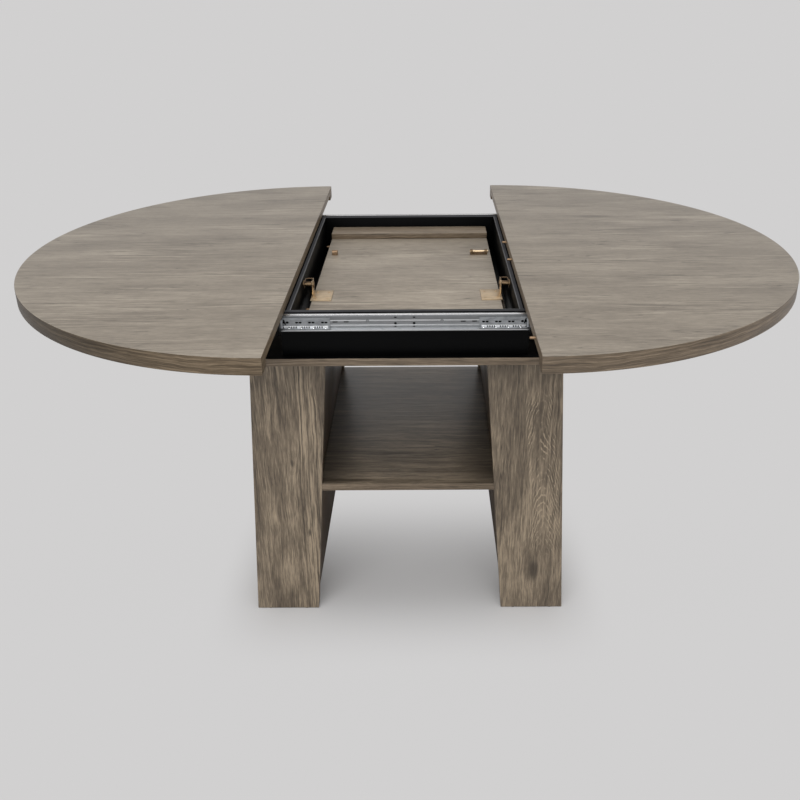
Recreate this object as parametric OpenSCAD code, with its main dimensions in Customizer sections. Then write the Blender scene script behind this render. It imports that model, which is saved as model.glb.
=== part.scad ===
// Round extendable dining table: two half-round tops on two-way ball slides, drawn apart to show
// the folded leaf in its storage box. Millimetres, +Z up, X along the extension, origin on the
// floor under the middle of the table. Every z below is a height above the floor.

/* [Table] */
// Diameter of the closed round top
top_d = 1200; // [1150:10:1300]
// Height of the top surface above the floor
table_h = 755; // [730:5:780]
// Clear opening between the two half tops when they are drawn out
opening = 452; // [440:2:460]

/* [Half tops] */
// Thickness of the top panels and the leaf panels
panel_t = 18; // [16:1:20]
// How far the edge band hangs below a panel
edge_drop = 14; // [10:1:16]
// Width of the edge band under the rim, measured along the radius
edge_w = 38; // [30:1:50]
// Diameter of the alignment pins in the cut edges
pin_d = 5; // [5:1:8]
// How far an alignment pin stands out of its edge
pin_out = 10; // [6:1:10]
// How deep an alignment pin sits in its panel
pin_in = 20; // [15:1:30]
// Distance of the inner alignment pins from the middle line
pin_y_in = 65; // [50:5:90]
// Distance of the outer alignment pins from the middle line
pin_y_out = 502; // [470:1:510]
// Wall of the brass sleeve in each pin socket
sleeve_t = 1; // [0.8:0.1:1.5]

/* [Storage box] */
// Outer length of the leaf box, front to back
box_len = 702; // [700:2:730]
// Outer width of the leaf box
box_w = 468; // [464:2:480]
// Thickness of the box boards
box_t = 18; // [16:1:19]
// Room between the folded leaf and the box rim
leaf_cover = 23; // [21:1:30]
// Running gap between the box rim and the panels that slide over it
rim_gap = 2; // [1.5:0.5:3]

/* [Base] */
// Thickness of the base plate
plate_t = 16; // [15:1:22]
// How far the base plate stands out past the box, front and back
plate_out = 14; // [8:1:24]
// Front to back depth of the legs
leg_depth = 592; // [560:2:620]
// Clear width between the legs under the base plate
leg_gap_top = 318; // [300:2:330]
// Width of a leg under the base plate
leg_w_top = 152; // [140:2:170]
// Clear width between the legs at the floor
leg_gap_foot = 410; // [390:2:430]
// Width of a leg at the floor
leg_w_foot = 137; // [125:1:150]
// Thickness of the leg boards
leg_t = 18; // [16:1:22]
// Height and depth of the corner blocks in the legs
block_h = 40; // [30:5:50]
// Width of the corner blocks in the legs
block_w = 50; // [30:5:60]
// How far the inner leg panel stands back from the edges of the front and back boards
leg_reveal = 6; // [3:1:8]
// Height of the shelf surface
shelf_z = 328; // [280:2:380]
// Thickness of the shelf
shelf_t = 17; // [16:1:22]
// Height of the floor glides
glide_h = 1.5; // [1:0.5:5]
// Diameter of the floor glides
glide_d = 15; // [10:1:15]

/* [Folding leaf] */
// Width of the leaf, along the extension
leaf_w = 390; // [370:2:400]
// Width of the edge band at the outer ends of the leaf
leaf_edge_w = 62; // [50:2:70]
// Thickness of the brass plates and straps
brass_t = 2; // [1.5:0.5:3]
// Size of a swing bracket's plate across the leaf
bracket_w = 40; // [30:1:45]
// Size of a swing bracket's plate along the leaf
bracket_len = 62; // [50:1:70]
// Width of the strap that rises to the pivot
strap_w = 26; // [20:1:30]
// Diameter of the pivot pins
pivot_d = 8; // [6:1:10]
// Diameter of the leaf bolt
bolt_d = 6; // [4:0.5:7]
// Travel of the leaf bolt
bolt_travel = 22; // [20:1:24]
// Length of a bolt's guide
guide_len = 40; // [39:1:44]
// Width of a bolt's guide
guide_w = 16; // [15:1:18]
// Distance from the rails under the half tops to the middle of a bolt
lock_gap = 26; // [22:1:28]
// Distance of a strike from its seam
strike_in = 13; // [11:1:14]

/* [Ball slides] */
// Height of the slide profile
slide_h = 32; // [32:1:40]
// Depth of the slide profile
slide_dep = 12.7; // [12.7:0.1:14]
// Length of the fixed channel
channel_len = 590; // [570:2:600]
// Sheet thickness of the channel and the runners
slide_t = 1.5; // [1.2:0.1:1.6]
// Sheet thickness of the ball cages
cage_t = 0.8; // [0.6:0.1:1]
// Length of a ball cage
cage_len = 155; // [135:2:155]
// Length of a runner
runner_len = 286; // [270:2:288]
// Diameter of the balls
ball_d = 5; // [4.5:0.1:5]
// Balls in one row of a cage
balls = 7; // [4:1:8]
// Thickness of the rails that carry the half tops on the runners
rail_t = 18; // [16:1:22]
// Diameter of the screw heads
head_d = 8; // [7:0.5:9]
// Diameter of the screw shanks
shank_d = 4; // [3:0.5:4.5]

/* [Hidden] */
$fn = 48;

// Clearances
slack = 0.3;      // between parts that move past each other
fit = 0.05;       // around a pin or a screw in its hole
bolt_play = 0.1;  // around a sliding bolt in its guide
eps = 1;          // overshoot of a cutting tool

// Heights
top_r = top_d / 2;
half_open = opening / 2;
under_z = table_h - panel_t;
rim_z = under_z - rim_gap;
slide_z1 = rim_z - 0.5;
slide_z0 = slide_z1 - slide_h;
stack = 2 * (panel_t + edge_drop);
plate_z1 = rim_z - leaf_cover - stack;
plate_z0 = plate_z1 - plate_t;
low_z0 = plate_z1 + edge_drop;
fold_z = low_z0 + panel_t;
up_z1 = fold_z + panel_t;

// Places along Y
box_y = box_len / 2;
plate_y = box_y + plate_out;
leg_y = leg_depth / 2;
leaf_end_y = box_y - box_t - 9;
fold_y = leaf_end_y - top_r;
swing_y = fold_y / 2;
swing_z = (fold_z + table_h) / 2;

// Places along X, on the right half
box_x = box_w / 2;
box_in = box_x - box_t;
leaf_x = leaf_w / 2;
leg_top_x = leg_gap_top / 2;
leg_foot_x = leg_gap_foot / 2;
swing_room = 3;
sweep_r = norm([swing_y - fold_y, swing_z - low_z0]);
swing_floor = swing_z - sweep_r;
open_x = leaf_x + pin_out + 7;
open_y0 = fold_y + swing_room;
open_y1 = swing_y + sweep_r;

// Slide profile, measured from the board's outer face outwards
chan_in = slide_t;
cage_y = slide_t + 1.7;
ball_y = slide_dep / 2 + 0.6;
flange_z = slide_h / 2 - slide_t;
ball_z = flange_z - slack - ball_d / 2;
runner_z = ball_z - ball_d / 2 - slack;
runner_y0 = cage_y + cage_t + slack;
runner_y1 = slide_dep + 0.5;
cage_y1 = slide_dep - 2.2;
channel_x = channel_len / 2;
cage_x = channel_x - cage_len;
runner_x = half_open + 2;
slide_mid = (slide_z0 + slide_z1) / 2;

oak = [0.50, 0.45, 0.40];
oak_dark = [0.40, 0.35, 0.30];
black = [0.07, 0.07, 0.08];
brass = [0.75, 0.60, 0.38];
zinc = [0.72, 0.74, 0.77];
nylon = [0.15, 0.15, 0.15];

function pin_ys() = [-pin_y_out, -pin_y_in, pin_y_in];
// The outer pin is in the front half only, so only the leaf's upper half has one
function leaf_pin_ys(z) = z == fold_z ? [pin_y_in, pin_y_out] : [pin_y_in];
// A leaf half is stored with the place that lies at y when it is in use
function stored(y) = fold_y + abs(y);

// side is -1 for the left and 1 for the right, end is -1 for the front and 1 for the back
module to_side(side) { if (side < 0) mirror([1, 0, 0]) children(); else children(); }
module to_end(end) { if (end > 0) mirror([0, 1, 0]) children(); else children(); }
module rod_x(d, x0, x1) translate([x0, 0, 0]) rotate([0, 90, 0]) cylinder(d = d, h = x1 - x0);
module box_from(x0, x1, y0, y1, z0, z1)
    translate([x0, y0, z0]) cube([x1 - x0, y1 - y0, z1 - z0]);
// Extrudes an outline drawn in X and Z from y0 to y1
module slab(y0, y1) translate([0, y1, 0]) rotate([90, 0, 0]) linear_extrude(y1 - y0) children();

// The half disc of radius r that lies at x > 0, moved out by half the opening
module half_disc(r, z0, z1) intersection() {
    translate([half_open, 0, z0]) cylinder(r = r, h = z1 - z0, $fn = 180);
    box_from(half_open, half_open + top_r + eps, -top_r - eps, top_r + eps, z0, z1);
}

/* Half tops */
module top(side) color(oak) to_side(side) difference() {
    half_disc(top_r, under_z, table_h);
    for (y = pin_ys()) translate([0, y, under_z + panel_t / 2])
        rod_x((side < 0 ? socket_d : pin_d) + 2 * fit, half_open - eps, half_open + pin_in);
}
module edge(side) color(oak_dark) to_side(side) difference() {
    half_disc(top_r, under_z - edge_drop, under_z);
    translate([half_open, 0, under_z - edge_drop - eps])
        cylinder(r = top_r - edge_w, h = edge_drop + 2 * eps, $fn = 180);
}
socket_d = pin_d + 2 * slack + 2 * sleeve_t;
module pin() rod_x(pin_d, -pin_out, pin_in);
module socket() difference() {
    rod_x(socket_d, 0, pin_in);
    rod_x(pin_d + 2 * slack, -eps, pin_in - 3);
}
module pins_right() color(brass) for (y = pin_ys())
    translate([half_open, y, under_z + panel_t / 2]) pin();
module sockets_left() color(brass) to_side(-1) for (y = pin_ys())
    translate([half_open, y, under_z + panel_t / 2]) socket();

// Wooden rail under a half top, screwed to the runner and up into the panel
rail_y = box_y + runner_y1;
rail_x0 = runner_x + 4;
rail_x1 = runner_x + runner_len - 10;
rail_screw_x = [rail_x0 + 30, (rail_x0 + rail_x1) / 2, rail_x1 - 30];
module top_rail(side, end) color(oak_dark) to_side(side) to_end(end) difference() {
    box_from(rail_x0, rail_x1, -rail_y - rail_t, -rail_y, slide_z0, under_z);
    for (x = rail_screw_x) rail_screw_at(x) rail_screw(2 * fit);
}
module rail_screw_at(x) translate([x, -rail_y - rail_t, slide_mid]) rotate([-90, 0, 0]) children();
module rail_screw(grow = 0) {
    translate([0, 0, -eps * sign(grow)]) cylinder(d = head_d + grow, h = 3 + eps * sign(grow));
    cylinder(d = shank_d + grow, h = rail_t + eps * sign(grow));
}
module rail_screws(side) color(zinc) to_side(side) for (end = [-1, 1], x = rail_screw_x)
    to_end(end) rail_screw_at(x) rail_screw();

/* Storage box */
module box_end(end) color(black) to_end(end)
    box_from(-box_x, box_x, -box_y, -box_y + box_t, plate_z1, rim_z);
module box_side(side) color(black) to_side(side) difference() {
    box_from(box_in, box_x, -box_y + box_t, box_y - box_t, plate_z1, rim_z);
    translate([0, swing_y, swing_z]) rod_x(pivot_d + 2 * fit, box_in - eps, pivot_end);
}

/* Base */
module base_plate() color(oak_dark) difference() {
    box_from(-leg_top_x - leg_w_top, leg_top_x + leg_w_top, -plate_y, plate_y, plate_z0, plate_z1);
    box_from(-open_x, open_x, open_y0, open_y1, plate_z0 - eps, plate_z1 + eps);
}
// Half width of the space between the legs at height z
function leg_in(z) = leg_foot_x + (leg_top_x - leg_foot_x) * (z - glide_h) / (plate_z0 - glide_h);
function leg_out(z) = leg_foot_x + leg_w_foot
    + (leg_top_x + leg_w_top - leg_foot_x - leg_w_foot) * (z - glide_h) / (plate_z0 - glide_h);
module leg_board(side, end) color(oak) to_side(side) to_end(end) slab(-leg_y, -leg_y + leg_t)
    polygon([[leg_in(glide_h), glide_h], [leg_out(glide_h), glide_h],
             [leg_out(plate_z0), plate_z0], [leg_in(plate_z0), plate_z0]]);
module leg_outer(side) color(oak) to_side(side) slab(-leg_y + leg_t, leg_y - leg_t)
    polygon([[leg_out(glide_h) - leg_t, glide_h], [leg_out(glide_h), glide_h],
             [leg_out(plate_z0), plate_z0], [leg_out(plate_z0) - leg_t, plate_z0]]);
// The inner panel is lower where the folded leaf swings down through the base plate
module leg_inner(side) color(oak) to_side(side) difference() {
    slab(-leg_y + leg_t, leg_y - leg_t)
        polygon([[leg_in(glide_h) + leg_reveal, glide_h],
                 [leg_in(glide_h) + leg_reveal + leg_t, glide_h],
                 [leg_in(plate_z0) + leg_reveal + leg_t, plate_z0],
                 [leg_in(plate_z0) + leg_reveal, plate_z0]]);
    box_from(leg_top_x, leg_top_x + leg_w_top, open_y0, open_y1,
             swing_floor - swing_room, plate_z0 + eps);
    for (y = shelf_screw_y) shelf_screw_at(y) shelf_screw(2 * fit);
}
module shelf() color(oak) difference() {
    union() {
        slab(-leg_y, leg_y) shelf_outline(0);
        slab(-leg_y + leg_t, leg_y - leg_t) shelf_outline(leg_reveal);
    }
    for (side = [-1, 1], y = shelf_screw_y) to_side(side) shelf_screw_at(y) shelf_screw(2 * fit);
}
module shelf_outline(out) polygon([
    [-leg_in(shelf_z - shelf_t) - out, shelf_z - shelf_t],
    [leg_in(shelf_z - shelf_t) + out, shelf_z - shelf_t],
    [leg_in(shelf_z) + out, shelf_z], [-leg_in(shelf_z) - out, shelf_z]]);
shelf_screw_y = [-leg_y * 0.7, 0, leg_y * 0.7];
shelf_screw_z = shelf_z - shelf_t / 2;
shelf_screw_len = 50;
module shelf_screw_at(y) translate([leg_in(shelf_screw_z) + leg_reveal + leg_t + 2, y, shelf_screw_z])
    rotate([0, -90, 0]) children();
module shelf_screw(grow = 0) {
    cylinder(d = shank_d + grow, h = shelf_screw_len + eps * sign(grow));
    if (grow == 0) cylinder(d = head_d, h = 1.5);
}
module shelf_screws() color(zinc) for (side = [-1, 1], y = shelf_screw_y)
    to_side(side) shelf_screw_at(y) shelf_screw();
module leg_blocks(side) color(oak_dark) to_side(side) for (end = [-1, 1]) to_end(end)
    slab(-leg_y + leg_t, -leg_y + leg_t + block_h)
        polygon([[leg_out(plate_z0 - block_h) - leg_t - block_w, plate_z0 - block_h],
                 [leg_out(plate_z0 - block_h) - leg_t, plate_z0 - block_h],
                 [leg_out(plate_z0) - leg_t, plate_z0],
                 [leg_out(plate_z0 - block_h) - leg_t - block_w, plate_z0]]);
module floor_glides() color(nylon) for (side = [-1, 1], end = [-1, 1], u = [0.2, 0.8])
    to_side(side) to_end(end)
        translate([leg_foot_x + u * leg_w_foot, -leg_y + leg_t / 2, 0])
            cylinder(d = glide_d, h = glide_h);

/* Folding leaf, folded face to face: the upper half lies upside down on the lower half */
module leaf_panel(z) difference() {
    box_from(-leaf_x, leaf_x, fold_y, leaf_end_y, z, z + panel_t);
    for (y = leaf_pin_ys(z)) translate([0, stored(y), z + panel_t / 2]) {
        rod_x(pin_d + 2 * fit, -leaf_x - eps, -leaf_x + pin_in);
        rod_x(socket_d + 2 * fit, leaf_x - pin_in, leaf_x + eps);
    }
    for (x = hinge_x) translate([x, fold_y, z + panel_t / 2]) rotate([-90, 0, 0])
        translate([0, 0, -eps]) cylinder(d = hinge_d + 2 * fit, h = hinge_in + eps);
}
module leaf_upper() color(oak) leaf_panel(fold_z);
module leaf_lower() color(oak) leaf_panel(low_z0);
module leaf_edge(z) color(oak_dark)
    box_from(-leaf_x, leaf_x, leaf_end_y - leaf_edge_w, leaf_end_y, z, z + edge_drop);
module leaf_pins() color(brass) for (z = [fold_z, low_z0]) for (y = leaf_pin_ys(z))
    translate([-leaf_x, stored(y), z + panel_t / 2]) pin();
module leaf_sockets() color(brass) for (z = [fold_z, low_z0]) for (y = leaf_pin_ys(z))
    translate([leaf_x, stored(y), z + panel_t / 2]) mirror([1, 0, 0]) socket();
// Concealed barrel hinges in the two fold ends, joined by a link across the fold
hinge_d = 12;
hinge_in = 25;
hinge_x = [-130, 0, 130];
module leaf_hinges() color(brass) for (x = hinge_x) {
    for (z = [fold_z, low_z0]) translate([x, fold_y, z + panel_t / 2]) rotate([-90, 0, 0])
        cylinder(d = hinge_d, h = hinge_in);
    box_from(x - 3, x + 3, fold_y - 2, fold_y, low_z0 + panel_t / 2, fold_z + panel_t / 2);
}

// Brass bracket: a plate on the leaf, a strap up its side and an open loop at the pivot
strap_x0 = leaf_x + 1;
strap_x1 = strap_x0 + brass_t;
strap_y0 = swing_y - strap_w / 2;
strap_y1 = swing_y + strap_w / 2;
loop_z = swing_z + 10;
loop_x1 = box_in - 3;
module swing_bracket(side) color(brass) to_side(side) difference() {
    union() {
        box_from(leaf_x - bracket_w, strap_x1, strap_y1 - bracket_len, strap_y1,
                 up_z1, up_z1 + brass_t);
        box_from(strap_x0, strap_x1, strap_y0, strap_y1, up_z1, loop_z);
        box_from(strap_x0, loop_x1, strap_y0, strap_y1, loop_z - brass_t, loop_z);
    }
    translate([0, 0, loop_z - brass_t]) box_from(strap_x1, loop_x1 - brass_t,
        strap_y0 + brass_t, strap_y1 - brass_t, -eps, brass_t + eps);
    translate([0, swing_y, swing_z]) rod_x(pivot_d + 2 * fit, strap_x0 - eps, strap_x1 + eps);
    for (u = [0.2, 0.8], v = [0.2, 0.8])
        translate([leaf_x - bracket_w * u, strap_y1 - bracket_len * v, up_z1 - eps])
            cylinder(d = shank_d, h = brass_t + 2 * eps);
}
pivot_end = box_in + 12;
module swing_pivot(side) color(brass) to_side(side) translate([0, swing_y, swing_z]) {
    rod_x(pivot_d, strap_x0 - 2, pivot_end);
    rod_x(pivot_d + 6, strap_x0 - 2, strap_x0);
    rod_x(pivot_d + 10, box_in - 2, box_in);
}

// Barrel bolts that lock a seam from below: one on the right side of the leaf, one under the left
// half top. x is measured from the seam, z from the surface that the bolt is screwed to.
guide_x0 = -8 - guide_len;
guide_x1 = -8;
eye = 6;
bolt_z = brass_t + bolt_d / 2 + 1;
lock_h = bolt_z + bolt_d / 2 + brass_t;
knob = guide_len - 2 * eye - bolt_travel - 2 * slack;
lock_y = rail_y + rail_t + lock_gap;
module on_leaf(side) translate([side * leaf_x, stored(lock_y), up_z1]) children();
module under_top(side) translate([side * half_open, -lock_y, under_z])
    mirror([0, 0, 1]) children();
module bolt_guide() color(brass) difference() {
    union() {
        box_from(guide_x0, guide_x1, -guide_w / 2, guide_w / 2, 0, brass_t);
        for (x = [guide_x0, guide_x1 - eye])
            box_from(x, x + eye, -guide_w / 2 + 2, guide_w / 2 - 2, brass_t - fit, lock_h);
    }
    translate([0, 0, bolt_z]) rod_x(bolt_d + 2 * bolt_play, guide_x0 - eps, guide_x1 + eps);
}
module bolt() color(brass) translate([0, 0, bolt_z]) {
    rod_x(bolt_d, guide_x0 - 1, guide_x1 + 3);
    rod_x(2 * (bolt_z - brass_t - slack), guide_x0 + eye + slack, guide_x0 + eye + slack + knob);
}
module strike() color(brass) difference() {
    box_from(strike_in, strike_in + 13, -guide_w / 2 + 2, guide_w / 2 - 2, 0, lock_h);
    translate([0, 0, bolt_z]) rod_x(bolt_d + 2 * slack, strike_in - eps, strike_in + 13 + eps);
}

/* Two-way ball slides. The profile is drawn at z = 0 with depth along -Y from the board face */
hole_x = 17.5;
hole_z = [8.4, -5.4, -11.8];
hole_r = [2.4, 2.4, 1.6];
slot_x = [110, 131];
slot_z = -1.2;
slot_r = 1.3;
slot_len = 7;
channel_screw_x = [-210, -70, 70, 210];
module at_slide(end) to_end(end) translate([0, -box_y, slide_mid]) children();
module channel(end) color(zinc) at_slide(end) difference() {
    union() {
        box_from(-channel_x, channel_x, -slide_t, 0, -slide_h / 2, slide_h / 2);
        for (s = [-1, 1]) scale_z(s) {
            box_from(-channel_x, channel_x, -slide_dep, -slide_t + fit, flange_z, slide_h / 2);
            box_from(-channel_x, channel_x, -slide_dep, -slide_dep + 1,
                     flange_z - 1.2, flange_z + fit);
        }
    }
    for (x = [-hole_x, hole_x], i = [0:2]) web_hole(x, hole_z[i], hole_r[i], 0);
    for (s = [-1, 1], x = slot_x) web_hole(s * x, slot_z, slot_r, slot_len);
    for (x = channel_screw_x) web_hole(x, 0, shank_d / 2 + fit, 0);
}
module scale_z(s) { if (s < 0) mirror([0, 0, 1]) children(); else children(); }
// A round hole, or a slot that is len longer than it is high, through the web
module web_hole(x, z, r, len) translate([x, eps, z]) rotate([90, 0, 0]) {
    for (u = len > 0 ? [-len / 2, len / 2] : [0])
        translate([u, 0, 0]) cylinder(r = r, h = slide_t + 2 * eps);
    if (len > 0) translate([-len / 2, -r, 0]) cube([len, 2 * r, slide_t + 2 * eps]);
}
module channel_screws(end) color(zinc) at_slide(end) for (x = channel_screw_x)
    translate([x, -slide_t - 1, 0]) rotate([-90, 0, 0]) {
        cylinder(d = head_d, h = 1);
        cylinder(d = shank_d, h = slide_t + 1);
    }

ball_step = (cage_len - 16) / (balls - 1);
module ball_cage(side, end) color(zinc) at_slide(end) to_side(side) {
    difference() {
        union() {
            box_from(cage_x, channel_x, -cage_y - cage_t, -cage_y, -ball_z - cage_t / 2,
                     ball_z + cage_t / 2);
            for (s = [-1, 1]) scale_z(s)
                box_from(cage_x, channel_x, -cage_y1, -cage_y - cage_t / 2,
                         ball_z - cage_t / 2, ball_z + cage_t / 2);
        }
        for (i = [0:balls - 1], s = [-1, 1])
            translate([cage_x + 8 + i * ball_step, -ball_y, s * ball_z])
                cylinder(d = ball_d + 2 * fit, h = 2 * ball_d, center = true);
        for (i = [0:3]) translate([cage_x + cage_len * (0.14 + 0.24 * i), -cage_y + eps, 0]) rotate([90, 0, 0]) {
            for (u = [-4, 4]) translate([u, 0, 0]) cylinder(d = 6, h = cage_t + 2 * eps);
            translate([-4, -3, 0]) cube([8, 6, cage_t + 2 * eps]);
        }
    }
    for (i = [0:balls - 1], s = [-1, 1])
        translate([cage_x + 8 + i * ball_step, -ball_y, s * ball_z]) sphere(d = ball_d);
}
module runner(side, end) color(zinc) at_slide(end) to_side(side) difference() {
    union() {
        box_from(runner_x, runner_x + runner_len, -runner_y1, -runner_y1 + slide_t,
                 -runner_z, runner_z);
        for (s = [-1, 1]) scale_z(s)
            box_from(runner_x, runner_x + runner_len, -runner_y1 + slide_t - fit, -runner_y0,
                     runner_z - slide_t, runner_z);
    }
    for (x = rail_screw_x) translate([x, -runner_y1 - eps, 0]) rotate([-90, 0, 0])
        cylinder(d = shank_d, h = slide_t + 2 * eps);
}

top(-1);  // top_left
top(1);  // top_right
edge(-1);  // edge_left
edge(1);  // edge_right
pins_right();
sockets_left();
top_rail(-1, -1);  // top_rail_left_front
top_rail(-1, 1);  // top_rail_left_back
top_rail(1, -1);  // top_rail_right_front
top_rail(1, 1);  // top_rail_right_back
rail_screws(-1);  // rail_screws_left
rail_screws(1);  // rail_screws_right
box_end(-1);  // box_front
box_end(1);  // box_back
box_side(-1);  // box_left
box_side(1);  // box_right
base_plate();
shelf();
shelf_screws();
floor_glides();
leg_board(-1, -1);  // leg_left_front
leg_board(-1, 1);  // leg_left_back
leg_outer(-1);  // leg_left_outer
leg_inner(-1);  // leg_left_inner
leg_board(1, -1);  // leg_right_front
leg_board(1, 1);  // leg_right_back
leg_outer(1);  // leg_right_outer
leg_inner(1);  // leg_right_inner
leg_blocks(-1);  // leg_blocks_left
leg_blocks(1);  // leg_blocks_right
leaf_upper();
leaf_lower();
leaf_edge(up_z1);  // leaf_edge_upper
leaf_edge(plate_z1);  // leaf_edge_lower
leaf_pins();
leaf_sockets();
leaf_hinges();
swing_bracket(-1);  // swing_bracket_left
swing_bracket(1);  // swing_bracket_right
swing_pivot(-1);  // swing_pivot_left
swing_pivot(1);  // swing_pivot_right
on_leaf(1) bolt_guide();  // leaf_bolt_guide
on_leaf(1) bolt();  // leaf_bolt
on_leaf(-1) strike();  // leaf_strike
under_top(-1) bolt_guide();  // top_bolt_guide
under_top(-1) bolt();  // top_bolt
under_top(1) strike();  // top_strike
channel(-1);  // slide_channel_front
channel(1);  // slide_channel_back
channel_screws(-1);  // channel_screws_front
channel_screws(1);  // channel_screws_back
ball_cage(-1, -1);  // ball_cage_left_front
ball_cage(-1, 1);  // ball_cage_left_back
ball_cage(1, -1);  // ball_cage_right_front
ball_cage(1, 1);  // ball_cage_right_back
runner(-1, -1);  // runner_left_front
runner(-1, 1);  // runner_left_back
runner(1, -1);  // runner_right_front
runner(1, 1);  // runner_right_back
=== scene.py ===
"""Looks of the round extendable dining table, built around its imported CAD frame.

Every length is in metres and every piece stands where the frame says. Each sub-assembly of the
table is a class with its sizes as fields, each finish is a frozen dataclass, and main() builds
them in order.
"""
from __future__ import annotations

import logging
import math
from contextlib import contextmanager
from dataclasses import dataclass
from enum import Enum
from typing import Callable, Iterator, Sequence

import bmesh
import bpy
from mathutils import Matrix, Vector


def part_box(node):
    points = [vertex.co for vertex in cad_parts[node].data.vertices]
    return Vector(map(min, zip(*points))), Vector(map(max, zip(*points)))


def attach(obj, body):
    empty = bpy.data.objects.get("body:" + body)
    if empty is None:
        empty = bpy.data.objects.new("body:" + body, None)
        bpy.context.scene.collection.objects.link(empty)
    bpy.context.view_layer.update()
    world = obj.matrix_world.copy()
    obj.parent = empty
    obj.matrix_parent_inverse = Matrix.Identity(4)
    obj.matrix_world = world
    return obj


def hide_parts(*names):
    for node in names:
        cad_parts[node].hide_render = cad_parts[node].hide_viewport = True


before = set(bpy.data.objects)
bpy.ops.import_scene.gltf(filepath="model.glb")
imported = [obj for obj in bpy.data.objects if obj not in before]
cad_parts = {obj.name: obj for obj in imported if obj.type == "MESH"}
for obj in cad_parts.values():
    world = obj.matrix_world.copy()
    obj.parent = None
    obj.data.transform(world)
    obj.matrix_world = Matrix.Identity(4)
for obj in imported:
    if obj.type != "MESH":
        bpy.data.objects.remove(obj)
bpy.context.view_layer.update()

log = logging.getLogger("table")

Point = tuple[float, float, float]
Pair = tuple[float, float]
Colour = tuple[float, float, float]
Wood = tuple[Colour, Colour, Colour]
Finish = bpy.types.Material
Test = Callable[[Vector], bool]
Chooser = Callable[[Vector, Vector], int]

# Edges are shaded smooth up to one angle and eased from the other on. Places closer than TOUCH
# are the same, and tools reach PAST what they cut. SKEW keeps grain from repeating in depth.
SMOOTH = math.radians(35)
SHARP = math.radians(38)
TOUCH = 1e-5
PAST = 0.01
SKEW = 1.37


class Place(Enum):
    """A place on the table that the CAD nodes spell by its name."""

    @property
    def word(self) -> str:
        """The place's name as the CAD nodes spell it."""
        return self.name.lower()


class Side(Place):
    """The two halves of the table along X."""

    LEFT = -1
    RIGHT = 1


class End(Place):
    """The two ends of the table along Y."""

    FRONT = -1
    BACK = 1


class Grain(Enum):
    """Where a finish finds the direction of its grain."""

    LAID = "laid"
    ALONG_X = "x"
    ALONG_Z = "z"


class Wire:
    """An output of a finish's node graph, on which plain arithmetic makes Math nodes."""

    def __init__(self, graph: Graph, socket: bpy.types.NodeSocket) -> None:
        """Holds an output socket of a graph."""
        self.graph, self.socket = graph, socket

    def __add__(self, other: Wire | float) -> Wire:
        """Adds a value."""
        return self.graph.math("ADD", self, other)

    def __sub__(self, other: Wire | float) -> Wire:
        """Takes a value away."""
        return self.graph.math("SUBTRACT", self, other)

    def __mul__(self, other: Wire | float) -> Wire:
        """Multiplies by a value."""
        return self.graph.math("MULTIPLY", self, other)

    def __abs__(self) -> Wire:
        """Drops the sign."""
        return self.graph.math("ABSOLUTE", self)

    def spread(self, amount: float) -> Wire:
        """Centres a noise on zero and scales it."""
        return (self - 0.5) * amount


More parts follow.
